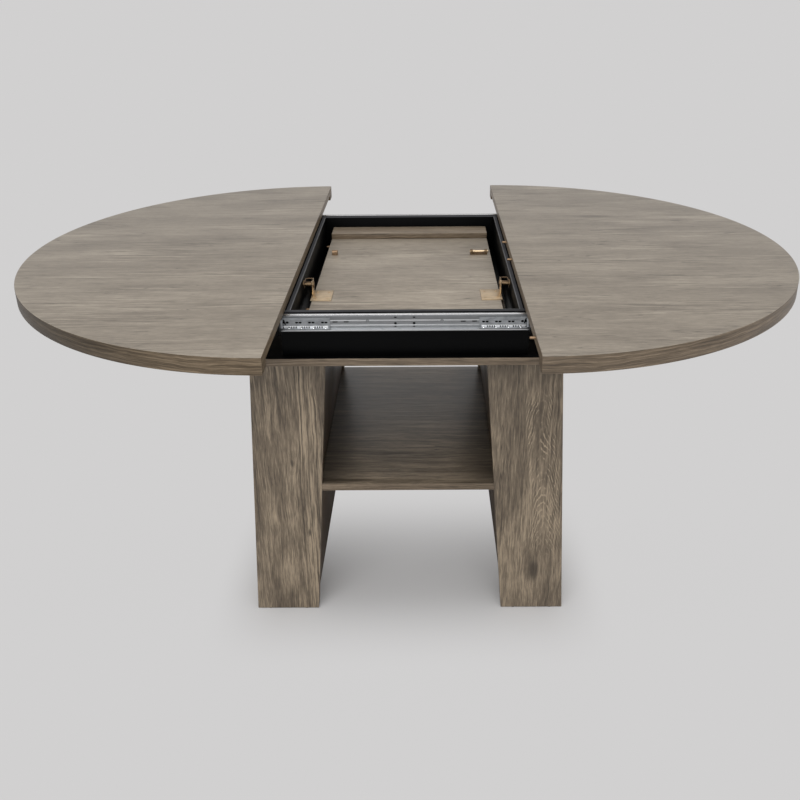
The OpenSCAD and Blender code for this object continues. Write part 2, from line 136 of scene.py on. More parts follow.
class Graph:
    """The node tree of a material or world, with short calls for the nodes that finishes use."""

    def __init__(self, owner: bpy.types.Material | bpy.types.World) -> None:
        """Empties the tree and starts it with one shader and the output.

        Args:
            owner: The new material or world.
        """
        owner.use_nodes = True
        self.owner, self.tree = owner, owner.node_tree
        self.tree.nodes.clear()
        world = isinstance(owner, bpy.types.World)
        self.out = self.tree.nodes.new("ShaderNodeOutputWorld" if world else "ShaderNodeOutputMaterial")
        self.shader = self.tree.nodes.new("ShaderNodeBackground" if world else "ShaderNodeBsdfPrincipled")
        self.tree.links.new(self.shader.outputs[0], self.out.inputs["Surface"])

    def feed(self, socket: bpy.types.NodeSocket, value: object) -> None:
        """Links a wire to an input, or sets the input's own value.

        Args:
            socket: The input.
            value: A wire, a number, a colour or a vector.
        """
        if isinstance(value, Wire):
            self.tree.links.new(value.socket, socket)
        else:
            socket.default_value = (*value, 1.0) if socket.type == "RGBA" else value

    @property
    def own(self) -> Wire:
        """The output of the graph's own shader."""
        return Wire(self, self.shader.outputs[0])

    def shade(self, values: dict[str, object]) -> None:
        """Feeds the shader's inputs by their names."""
        for name, value in values.items():
            self.feed(self.shader.inputs[name], value)

    def add(self, kind: str, inputs: dict[int | str, object], output: int | str = 0, **settings: str) -> Wire:
        """Adds a node.

        Args:
            kind: Its type, without the word that all node types start with.
            inputs: What its inputs get, by their names or numbers.
            output: The name or number of the output that is wanted.
            settings: The node's own settings.

        Returns:
            The output.
        """
        node = self.tree.nodes.new(f"ShaderNode{kind}")
        for name, value in settings.items():
            setattr(node, name, value)
        for name, value in inputs.items():
            self.feed(node.inputs[name], value)
        return Wire(self, node.outputs[output])

    def math(self, operation: str, a: object, b: object = 0.0) -> Wire:
        """Adds a Math node on one or two values."""
        return self.add("Math", {0: a, 1: b}, operation=operation)

    def vector(self, x: object, y: object, z: object = 0.0) -> Wire:
        """Joins three values into a vector."""
        return self.add("CombineXYZ", {0: x, 1: y, 2: z})

    def parts(self, vector: Wire) -> list[Wire]:
        """Splits a vector into its three values."""
        split = self.add("SeparateXYZ", {0: vector}).socket.node
        return [Wire(self, socket) for socket in split.outputs]

    def spot(self) -> list[Wire]:
        """The three object coordinates."""
        return self.parts(self.add("TexCoord", {}, "Object"))

    def along(self, grain: Grain) -> list[Wire]:
        """Finds the place along the grain and across it.

        Args:
            grain: Where the grain's direction comes from.

        Returns:
            The two values.
        """
        if grain is Grain.LAID:
            return self.parts(self.add("UVMap", {}, "UV", uv_map="grain"))[:2]
        x, y, z = self.spot()
        first, second, third = (x, y, z) if grain is Grain.ALONG_X else (z, x, y)
        return [first, second + third * SKEW]

    def noise(self, vector: Wire, detail: float = 2.0, rough: float = 0.5) -> Wire:
        """A noise, about 0.5 on average, on a place that is already scaled."""
        inputs = {"Vector": vector, "Scale": 1.0, "Detail": detail, "Roughness": rough}
        return self.add("TexNoise", inputs, "Fac")

    def step(self, value: Wire, low: float, high: float, to_low: float = 0.0, to_high: float = 1.0) -> Wire:
        """A smooth step from to_low, up to low, to to_high, from high on."""
        inputs = {"Value": value, "From Min": low, "From Max": high, "To Min": to_low, "To Max": to_high}
        return self.add("MapRange", inputs, "Result", interpolation_type="SMOOTHSTEP")

    def ramp(self, value: Wire, *stops: tuple[float, Colour]) -> Wire:
        """Adds a colour ramp.

        Args:
            value: The place on the ramp.
            stops: Places and colours, lowest first.

        Returns:
            The colour.
        """
        colour = self.add("ValToRGB", {0: value}, "Color")
        elements = colour.socket.node.color_ramp.elements
        while len(elements) < len(stops):
            elements.new(0.5)
        for element, (place, shown) in zip(elements, stops):
            element.position, element.color = place, (*shown, 1.0)
        return colour

    def blend(self, share: object, a: object, b: object, kind: str = "MIX") -> Wire:
        """Mixes a share of the second colour into the first, by a blend type."""
        return self.add("Mix", {0: share, 6: a, 7: b}, 2, data_type="RGBA", blend_type=kind)

    def dim(self, colour: Wire, shade: Wire) -> Wire:
        """Multiplies a colour by one value."""
        return self.blend(1.0, colour, self.vector(shade, shade, shade), "MULTIPLY")

    def bump(self, height: Wire, depth: float) -> None:
        """Gives the shader a relief with a depth in metres."""
        inputs = {"Distance": depth, "Strength": 1.0, "Height": height}
        self.shade({"Normal": self.add("Bump", inputs, "Normal")})

    def ray(self, kind: str) -> Wire:
        """Tells rays of one kind from the others."""
        return self.add("LightPath", {}, kind)

    def show(self, share: Wire, first: Wire, second: Wire) -> None:
        """Puts a mix of two shaders in the output."""
        self.feed(self.out.inputs["Surface"], self.add("MixShader", {0: share, 1: first, 2: second}))


def darker(colour: Colour, share: float) -> Colour:
    """A share of a colour."""
    return tuple(value * share for value in colour)


def toned(wood: Wood, *shares: float) -> Wood:
    """A wood's colours, each channel times its own share."""
    return tuple(tuple(value * share for value, share in zip(colour, shares)) for colour in wood)


@dataclass(frozen=True)
class Layer:
    """A noise that is drawn out along the grain: its rates along and across it, and its seed."""

    length: float
    rate: float
    seed: float
    detail: float = 3.0
    rough: float = 0.6


DRIFT = Layer(2.6, 6.0, 0.0)
WAVE = Layer(16.0, 30.0, 1.0, 2.0)
RINGS = Layer(3.6, 60.0, 2.0, 5.0, 0.62)
STREAKS = Layer(7.0, 80.0, 3.0, 4.0, 0.66)
FIBRES = Layer(34.0, 400.0, 4.0, 3.0, 0.65)
TONES = Layer(3.0, 11.0, 5.0)
BAND_LINES = Layer(3.0, 240.0, 6.0, 2.0)
PORES = Layer(60.0, 1300.0, 7.0, 1.0, 0.5)
CRACKS = Layer(4.5, 70.0, 8.0, 2.0)
CRACKED_PARTS = Layer(6.0, 17.0, 9.0, 2.0)
ARCH_WAVE = Layer(10.0, 34.0, 10.0, 4.0)
ARCH_PARTS = Layer(14.0, 50.0, 11.0)
FIGURED_PARTS = Layer(2.6, 15.0, 12.0, 2.0)
SPECKS = Layer(26.0, 75.0, 13.0, 2.0)
MOTTLE = Layer(12.0, 24.0, 14.0, 4.0)


@dataclass(frozen=True)
class OakFinish:
    """Satin lacquer over grey-brown oak veneer with fibres, rings, pores, fine cracks and knots.

    A knot is (along, across, radius). The cathedral is (along, across, half width, slope) of a
    figure of nested arches. The band is (across, half width) of a streakier, paler strip. The dim
    is (axis, start, end, least): painted shade, how much darker the wood gets away from the middle.
    Calm is how much of the streaks is left in the plain patches between the figured ones.
    """

    name: str
    pale: Colour
    mid: Colour
    dark: Colour
    grain: Grain = Grain.LAID
    figure: float = 0.7
    fibre: float = 0.7
    tone: float = 0.5
    streak: float = 0.7
    streak_rate: float = STREAKS.rate
    calm: float = 1.0
    specks: float = 0.0
    mottle: float = 0.0
    specular: float = 0.5
    stretch: float = 1.0
    ring_rate: float = RINGS.rate
    slope: float = 0.04
    pores: float = 0.30
    cracks: float = 0.5
    roughness: float = 0.45
    coat: float = 0.0
    coat_roughness: float = 0.22
    relief: float = 0.00012
    knots: tuple[tuple[float, float, float], ...] = ()
    cathedral: tuple[float, float, float, float] | None = None
    arch_rate: float = 1100.0
    arch_tip: float = 0.009
    band: Pair | None = None
    dim: tuple[int, float, float, float] | None = None
    offset: float = 0.0

    def make(self) -> Finish:
        """Builds the material.

        Returns:
            The oak material.
        """
        g = Graph(bpy.data.materials.new(self.name))
        u, v = g.along(self.grain)

        def layer(kind: Layer, across: Wire, rate: float = 0.0) -> Wire:
            """Adds a layer, at its own rate across the grain or at the one that is given."""
            place = (u * (kind.length * self.stretch), across * (rate or kind.rate), self.offset + kind.seed)
            return g.noise(g.vector(*place), kind.detail, kind.rough)

        across = v + layer(DRIFT, v).spread(0.024)
        across = across + layer(WAVE, v).spread(0.006)
        arch = across + u * self.slope
        core = 0.0
        for along, side, radius in self.knots:
            du, dv = (u - along) * 0.38, across - side
            far = g.math("SQRT", du * du + dv * dv)
            near = g.step(far, radius * 0.8, radius * 3.0, 1.0, 0.0)
            arch = arch + near * (far * 1.6 - arch)
            core = g.math("MAXIMUM", core, g.step(far, radius * 0.3, radius * 1.25, 1.0, 0.0))
        rings, streak = layer(RINGS, arch, self.ring_rate), layer(STREAKS, across, self.streak_rate)
        fibre, tone = layer(FIBRES, across), layer(TONES, v)
        lively = g.step(layer(FIGURED_PARTS, v), 0.44, 0.62, self.calm, 1.0 / max(self.calm, 0.6))
        total = (rings.spread(self.figure) + streak.spread(self.streak)) * lively
        total = total + (fibre.spread(self.fibre) + tone.spread(self.tone))
        if self.mottle:
            total = total + layer(MOTTLE, v).spread(self.mottle)
        if self.band:
            middle, half = self.band
            inside = g.step(abs(across - middle), half * 0.5, half * 1.3, 1.0, 0.0)
            total = total + inside * (layer(BAND_LINES, across).spread(2.2) + 0.08)
        if self.cathedral:
            along, side, width, slope = self.cathedral
            du = u - along
            dv = across + du * 0.075 - side
            inside = g.step(abs(dv), width * 0.5, width, 1.0, 0.0) * g.step(abs(du), 0.14, 0.22, 1.0, 0.0)
            bow = g.math("SQRT", dv * dv + self.arch_tip ** 2)
            phase = (bow + du * slope) * self.arch_rate + layer(ARCH_WAVE, v).spread(22.0)
            inside = inside * g.step(layer(ARCH_PARTS, v), 0.40, 0.60, 0.05, 1.0)
            total = total + inside * g.step(g.math("SINE", phase), 0.40, 1.0, -0.12, 0.42)
        colour = g.ramp(total + 0.5, (0.12, self.dark), (0.5, self.mid), (0.88, self.pale))
        pore = g.step(layer(PORES, across), 0.56, 0.70, 0.0, self.pores)
        split = g.step(abs(layer(CRACKS, across) - 0.5), 0.0, 0.022, self.cracks, 0.0)
        split = split * g.step(layer(CRACKED_PARTS, v), 0.54, 0.66)
        marks = [(pore, 0.35), (split, 0.45)]
        if self.specks:
            marks.append((g.step(layer(SPECKS, across), 0.70, 0.78, 0.0, self.specks), 0.5))
        if self.knots:
            marks.append((core * 0.7, 0.35))
        for mark, share in marks:
            colour = g.blend(mark, colour, darker(self.dark, share))
        if self.dim:
            axis, start, end, least = self.dim
            colour = g.dim(colour, g.step(abs(g.spot()[axis]), start, end, 1.0, least))
        g.shade({
            "Base Color": colour, "Roughness": fibre.spread(0.16) + self.roughness, "Coat Weight": self.coat,
            "Coat Roughness": self.coat_roughness, "Specular IOR Level": self.specular})
        g.bump(rings + fibre - (pore + split), self.relief)
        return g.owner


@dataclass(frozen=True)
class LaminateFinish:
    """Smooth laminate or moulded plastic with faint clouds and grit."""

    name: str
    colour: Colour
    roughness: float = 0.4
    specular: float = 0.5
    relief: float = 0.00003
    cloud: float = 0.15
    cloud_rate: float = 14.0
    grit_rate: float = 1400.0

    def make(self) -> Finish:
        """Builds the material.

        Returns:
            The laminate material.
        """
        g = Graph(bpy.data.materials.new(self.name))
        place = g.spot()
        wide = g.noise(g.vector(*(value * self.cloud_rate for value in place)), 3.0)
        grit = g.noise(g.vector(*(value * self.grit_rate for value in place)), 1.0)
        low, high = (darker(self.colour, share) for share in about(1.0, self.cloud))
        g.shade({
            "Base Color": g.ramp(wide, (0.3, low), (0.7, high)), "Specular IOR Level": self.specular,
            "Roughness": wide.spread(0.12) + self.roughness})
        g.bump(grit, self.relief)
        return g.owner


@dataclass(frozen=True)
class MetalFinish:
    """Drawn or plated metal with fine lines along X, dull spots and a worn tone.

    The fade is (low, high, least): painted shade, how much darker the metal gets between two heights.
    """

    name: str
    colour: Colour
    roughness: float = 0.3
    lines: float = 0.12
    spots: float = 0.25
    relief: float = 0.00002
    fade: tuple[float, float, float] | None = None

    def make(self) -> Finish:
        """Builds the material.

        Returns:
            The metal material.
        """
        g = Graph(bpy.data.materials.new(self.name))
        u, v = g.along(Grain.ALONG_X)
        drawn = g.noise(g.vector(u * 25.0, v * 2600.0), 2.0)
        cloud = g.noise(g.vector(u * 60.0, v * 90.0, 2.0), 3.0, 0.6)
        colour = g.ramp(cloud, (0.35, darker(self.colour, 1 - self.spots)), (0.6, self.colour))
        if self.fade:
            low, high, least = self.fade
            colour = g.dim(colour, g.step(g.spot()[2], low, high, 1.0, least))
        rough = drawn.spread(self.lines) + (cloud.spread(0.15) + self.roughness)
        g.shade({"Base Color": colour, "Roughness": rough, "Metallic": 1.0})
        g.bump(drawn, self.relief)
        return g.owner


class Palette:
    """All finishes of the table, each made once."""

    def __init__(self) -> None:
        """Makes the materials."""
        wood = ((0.390, 0.338, 0.272), (0.246, 0.210, 0.167), (0.120, 0.100, 0.078))
        self.top = OakFinish(
            "oak_top", *wood, figure=0.55, fibre=0.8, tone=0.75, streak=0.85, streak_rate=150.0, calm=0.35,
            specks=0.7, cracks=0.7, ring_rate=95.0, slope=0.02).make()
        # The leaf is the top's wood painted lighter: painted light against the shade inside its box.
        self.leaf = OakFinish(
            "oak_leaf", *toned(wood, 1.16, 1.16, 1.16), figure=0.45, fibre=0.9, tone=0.7, streak=0.8,
            streak_rate=170.0, calm=0.35, specks=0.4, cracks=0.7, ring_rate=110.0, slope=0.02,
            offset=7.3).make()
        wood = ((0.235, 0.188, 0.136), (0.136, 0.105, 0.073), (0.055, 0.041, 0.027))
        lined = {"figure": 0.45, "streak": 1.8, "streak_rate": 340.0, "slope": 0.01, "offset": 2.1}
        lined |= {"fibre": 0.8, "ring_rate": 150.0, "cracks": 0.3}
        self.edge = OakFinish("oak_edge", *toned(wood, 1.05, 1.0, 0.94), **lined).make()
        # The left edge band is a copy of the edge wood with painted shade, darker away from the middle.
        self.edge_left = OakFinish(
            "oak_edge_left", *toned(wood, 1.14, 1.09, 1.01), **lined, specular=0.22,
            dim=(0, 0.25, 0.63, 0.38)).make()
        self.band = OakFinish(
            "oak_leaf_band", *toned(wood, 1.25, 1.25, 1.25), figure=0.9, ring_rate=150.0, streak_rate=160.0,
            cracks=0.3, offset=2.9).make()
        self.block = OakFinish(
            "oak_block", *wood, grain=Grain.ALONG_Z, figure=1.1, ring_rate=140.0, offset=6.3).make()
        wood = ((0.370, 0.293, 0.205), (0.162, 0.125, 0.086), (0.055, 0.040, 0.027))
        lively = {"figure": 0.5, "streak": 0.75, "streak_rate": 190.0, "calm": 0.5, "mottle": 0.65}
        lively |= {"stretch": 0.8}
        self.leg_left = OakFinish(
            "oak_leg_left", *wood, **lively, fibre=1.3, tone=1.0, slope=0.03, band=(-0.205, 0.024),
            knots=((0.378, -0.241, 0.004), (0.205, -0.212, 0.004)), offset=4.4).make()
        self.leg_right = OakFinish(
            "oak_leg_right", *wood, **lively, fibre=1.2, tone=0.9, slope=-0.02,
            cathedral=(0.345, 0.286, 0.040, 0.30), knots=((0.104, 0.277, 0.013),), offset=9.6).make()
        self.leg_plain = OakFinish(
            "oak_leg_plain", *wood, fibre=1.1, tone=1.0, streak=1.1, streak_rate=150.0, stretch=0.8,
            offset=12.5).make()
        # The inner boards are painted shade: the leg wood darkened, and darker still towards the top.
        self.leg_inner = OakFinish(
            "oak_leg_inner", *toned(wood, 0.50, 0.42, 0.36), fibre=0.9, tone=0.8, stretch=0.8, specular=0.2,
            dim=(2, 0.15, 0.55, 0.55), offset=15.2).make()
        wood = ((0.330, 0.262, 0.188), (0.175, 0.138, 0.098), (0.062, 0.047, 0.032))
        # The shelf has painted shade, darker towards the legs.
        self.shelf = OakFinish(
            "oak_shelf", *wood, figure=0.9, fibre=1.0, streak=1.3, streak_rate=120.0, cracks=0.8,
            roughness=0.36, coat=0.10, dim=(0, 0.08, 0.175, 0.45), offset=5.5).make()
        self.black = LaminateFinish("black_laminate", (0.0012, 0.0013, 0.0014), 0.45, 0.07).make()
        self.rim = LaminateFinish("grey_rim_tape", (0.050, 0.050, 0.054), 0.75, 0.04).make()
        # Painted shade: the outer strips of the box rims, the strips behind the cage windows, and the teeth
        # and stops of the races.
        self.gap = LaminateFinish("shaded_rim_tape", (0.006, 0.006, 0.006), 0.8, 0.0).make()
        # Painted highlight along the inner edges of the box rims.
        self.rim_edge = LaminateFinish("worn_rim_edge", (0.115, 0.115, 0.118), 0.70, 0.10).make()
        # Painted shadow under the slide channel's hem.
        self.grease = LaminateFinish("greased_track", (0.012, 0.012, 0.012), 0.45).make()
        self.nylon = LaminateFinish("black_nylon", (0.03, 0.03, 0.032), 0.5).make()
        # Painted shade: the channel's web gets darker towards the top, under its upper flange.
        low, high = low_high("slide_channel_front")
        fade = (low.z + 0.004, high.z - 0.012, 0.64)
        self.zinc = MetalFinish("bright_zinc", (0.56, 0.585, 0.61), spots=0.10).make()
        self.web = MetalFinish("dull_zinc_web", (0.37, 0.38, 0.39), 0.38, spots=0.10, fade=fade).make()
        self.race = MetalFinish("bright_race", (0.97, 0.98, 0.99), spots=0.05).make()
        # The channel's zinc is painted in lit and shaded copies: painted shade on the brow, and a painted
        # highlight on the crest, ribs, lower flange and lower lip.
        self.brow = MetalFinish("shaded_brow", (0.25, 0.26, 0.27), 0.42, spots=0.10).make()
        self.rib = MetalFinish("polished_rib", (0.56, 0.57, 0.58), spots=0.03).make()
        self.bright = MetalFinish("bright_flange", (0.95, 0.96, 0.97), 0.25, spots=0.03).make()
        self.cage = MetalFinish("cage_steel", (0.36, 0.375, 0.39), 0.38, spots=0.30).make()
        self.ball = MetalFinish("ball_chrome", (0.90, 0.91, 0.92), 0.14, lines=0.02, spots=0.05).make()
        self.screw = MetalFinish("screw_zinc", (0.70, 0.71, 0.73), 0.32).make()
        self.brass = MetalFinish("satin_brass", (0.72, 0.56, 0.37), 0.36, spots=0.18).make()
        # A darker copy of the brass: painted shade on the pins, sockets, strike and the bracket's loop.
        self.pin_brass = MetalFinish("pin_brass", (0.31, 0.21, 0.13), 0.50).make()
        # Painted shadow under the bolt rods on their guides, and on the swing pivots.
        self.bronze = MetalFinish("aged_bronze", (0.21, 0.145, 0.085), 0.45, spots=0.35).make()


def low_high(node: str) -> tuple[Vector, Vector]:
    """The lowest and highest corners of a CAD node at rest."""
    low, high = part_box(node)
    return Vector(low), Vector(high)


def about(middle: float, half: float) -> Pair:
    """The span that reaches equally far to both sides of a middle."""
    return (middle - half, middle + half)


def upright(normal: Vector, middle: Vector, flat: float = 0.6) -> int:
    """Tells the sides of a board, 1, from its upper and lower faces, 0."""
    return 0 if abs(normal.z) > flat else 1


class Solid:
    """A piece while it is modelled: an object at the origin whose mesh holds its place.

    The grain map takes a face for flat or for end grain by its normal, and for a rim by how far
    from its hub it lies. The grain of a rim is measured at one radius.
    """

    flat_normal = 0.75
    end_normal = 0.72
    rim_reach = 0.55
    rim_radius = 0.6

    def __init__(self, name: str) -> None:
        """Takes the active object as a piece and moves its place into its mesh.

        Args:
            name: The piece's name.
        """
        self.object = bpy.context.object
        bpy.ops.object.transform_apply(location=True, rotation=True, scale=True)
        self.rename(name)

    @staticmethod
    def clear() -> None:
        """Leaves edit mode and deselects everything."""
        if bpy.context.object and bpy.context.object.mode != "OBJECT":
            bpy.ops.object.mode_set(mode="OBJECT")
        bpy.ops.object.select_all(action="DESELECT")

    @classmethod
    def box(cls, name: str, low: Sequence[float], high: Sequence[float]) -> Solid:
        """Adds a cube primitive that fills a box.

        Args:
            name: The piece's name.
            low: The box's lowest corner.
            high: The box's highest corner.

        Returns:
            The piece.
        """
        cls.clear()
        bpy.ops.mesh.primitive_cube_add(size=1.0, location=[(a + b) / 2 for a, b in zip(low, high)])
        bpy.context.object.scale = [b - a for a, b in zip(low, high)]
        return cls(name)

    @classmethod
    def rod(
            cls, name: str, start: Sequence[float], axis: int, length: float, radius: float,
            ease: float = 0.0, count: int = 24) -> Solid:
        """Makes a rod along an axis with eased ends.

        Args:
            name: The piece's name.
            start: Middle of its lower end.
            axis: 0, 1 or 2 for X, Y or Z.
            length: Its length.
            radius: Its radius.
            ease: Width of the eased ends.
            count: Number of sides.

        Returns:
            The piece.
        """
        cls.clear()
        middle = Vector(start)
        middle[axis] += length / 2
        turn = ((0.0, math.pi / 2, 0.0), (math.pi / 2, 0.0, 0.0), (0.0, 0.0, 0.0))[axis]
        bpy.ops.mesh.primitive_cylinder_add(
            vertices=count, radius=radius, depth=length, location=middle, rotation=turn)
        return cls(name).ease(ease)

    def rename(self, name: str) -> Solid:
        """Names the piece and its mesh."""
        self.object.name = self.object.data.name = name
        return self

    def only(self) -> None:
        """Makes the piece the only selected and active one."""
        self.clear()
        self.object.select_set(True)
        bpy.context.view_layer.objects.active = self.object

    @contextmanager
    def edited(self) -> Iterator[None]:
        """Keeps the piece in edit mode, all of it selected at first, while a block runs."""
        self.only()
        bpy.ops.object.mode_set(mode="EDIT")
        bpy.ops.mesh.select_all(action="SELECT")
        yield
        bpy.ops.object.mode_set(mode="OBJECT")

    @contextmanager
    def picked(self, kind: str, test: Test) -> Iterator[None]:
        """Keeps the piece in edit mode, with only what passes a test selected, while a block runs.

        Args:
            kind: "VERT" or "EDGE".
            test: Says whether a vertex, or the middle of an edge, is wanted.
        """
        with self.edited():
            bpy.ops.mesh.select_mode(type=kind)
            bpy.ops.mesh.select_all(action="DESELECT")
            mesh = bmesh.from_edit_mesh(self.object.data)
            for part in mesh.verts if kind == "VERT" else mesh.edges:
                ends = [part] if kind == "VERT" else part.verts
                part.select_set(test(sum((end.co for end in ends), Vector()) / len(ends)))
            bmesh.update_edit_mesh(self.object.data)
            yield

    def shift(self, test: Test, offset: Sequence[float]) -> Solid:
        """Moves the vertices that pass a test.

        Args:
            test: Says whether a vertex moves.
            offset: How far it moves.

        Returns:
            The piece.
        """
        with self.picked("VERT", test):
            bpy.ops.transform.translate(value=offset)
        return self

    def round_edges(self, test: Test, width: float, steps: int) -> Solid:
        """Rounds the edges whose middle passes a test.

        Args:
            test: Says whether an edge is rounded.
            width: Width of the rounding.
            steps: Its steps.

        Returns:
            The piece.
        """
        with self.picked("EDGE", test):
            bpy.ops.mesh.bevel(offset=width, segments=steps, affect="EDGES")
        return self

    def ease(self, width: float, steps: int = 2) -> Solid:
        """Rounds the sharp edges with an applied Bevel modifier.

        Args:
            width: Width of the rounding, or zero for none.
            steps: Its steps.

        Returns:
            The piece.
        """
        if width:
            self.only()
            bevel = self.object.modifiers.new("ease", "BEVEL")
            bevel.width, bevel.segments = width, steps
            bevel.limit_method, bevel.angle_limit = "ANGLE", SHARP
            bpy.ops.object.modifier_apply(modifier=bevel.name)
            bpy.ops.object.shade_smooth_by_angle(angle=SMOOTH)
        return self

    def cut(self, tool: Solid, operation: str = "DIFFERENCE") -> Solid:
        """Applies a Boolean modifier with a tool, and removes the tool.

        Args:
            tool: The piece that cuts, or that is united.
            operation: The modifier's operation.

        Returns:
            The piece.
        """
        self.only()
        cut = self.object.modifiers.new("cut", "BOOLEAN")
        cut.operation, cut.solver, cut.object = operation, "EXACT", tool.object
        bpy.ops.object.modifier_apply(modifier=cut.name)
        bpy.data.objects.remove(tool.object, do_unlink=True)
        return self

    def join(self, name: str, *others: Solid) -> Solid:
        """Joins other pieces to this one and names the whole.

        Args:
            name: The name of the whole.
            others: The other pieces.

        Returns:
            The whole.
        """
        self.only()
        for other in others:
            other.object.select_set(True)
        if others:
            bpy.ops.object.join()
        return self.rename(name)

    def repeat(self, name: str, offsets: Sequence[Sequence[float]]) -> Solid:
        """Copies the piece, each copy with its own mesh, and joins the copies to it.

        Args:
            name: The name of the whole.
            offsets: How far each copy lies from the piece.

        Returns:
            The whole.
        """
        copies = []
        for offset in offsets:
            self.only()
            bpy.ops.object.duplicate(linked=False)
            bpy.context.object.location = offset
            copies.append(Solid("copy"))
        return self.join(name, *copies)

    def mirror(self, axis: int, wanted: bool) -> Solid:
        """Mirrors the piece about the origin, with its faces turned back outwards.

        Args:
            axis: The axis whose sign changes.
            wanted: Whether it is mirrored or stays as it is.

        Returns:
            The piece.
        """
        if wanted:
            self.only()
            self.object.scale[axis] = -1.0
            bpy.ops.object.transform_apply(location=True, rotation=True, scale=True)
            with self.edited():
                bpy.ops.mesh.normals_make_consistent(inside=False)
        return self

    def paint(self, *finishes: Finish, choose: Chooser = upright) -> Solid:
        """Gives the piece its finishes, face by face.

        Args:
            finishes: One finish, or those that are chosen from.
            choose: Gives the number of a face's finish from its normal and middle.

        Returns:
            The piece.
        """
        mesh = self.object.data
        mesh.materials.clear()
        for finish in finishes:
            mesh.materials.append(finish)
        for face in mesh.polygons:
            face.material_index = choose(face.normal, face.center) if len(finishes) > 1 else 0
        return self

    def lay(self, along: int, slide: float = 0.0, hub: Point | None = None) -> Solid:
        """Writes the grain map: metres along and across the grain of each face.

        Args:
            along: The axis that the grain follows.
            slide: How far the pattern is moved across, so that pieces differ.
            hub: The centre that the grain runs round on the upright faces of a rim, if it does.

        Returns:
            The piece.
        """
        mesh, sizes = self.object.data, self.object.dimensions
        layer = mesh.uv_layers.get("grain") or mesh.uv_layers.new(name="grain")
        others = [axis for axis in range(3) if axis != along]
        for face in mesh.polygons:
            normal = [abs(value) for value in face.normal]
            turned = hub is not None and normal[2] < self.flat_normal
            turned = turned and (face.center - Vector(hub)).xy.length > self.rim_reach
            if normal[along] > self.end_normal:
                first, second = sorted(others, key=lambda axis: -sizes[axis])
            else:
                first, second = along, min(others, key=lambda axis: normal[axis])
            for corner in face.loop_indices:
                point = mesh.vertices[mesh.loops[corner].vertex_index].co
                if turned:
                    away = point - Vector(hub)
                    bearing = math.atan2(away.y, away.x if hub[0] >= 0 else -away.x)
                    layer.data[corner].uv = (bearing * self.rim_radius, point.z + slide)
                else:
                    layer.data[corner].uv = (point[first], point[second] + slide)
        return self

    def hand_over(self, body: str, slot: str, *nodes: str) -> None:
        """Puts the finished piece on its body and in place of its CAD nodes.

        Args:
            body: The CAD body it rides on.
            slot: Not used.
            nodes: The CAD nodes it stands for.
        """
        piece = self.object
        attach(piece, body)
        if nodes:
            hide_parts(*nodes)
        log.info("%s: %d faces on %s", piece.name, len(piece.data.polygons), body)


@dataclass
class SubAssembly:
    """A group of the table's pieces, which take their finishes from one palette."""

    palette: Palette


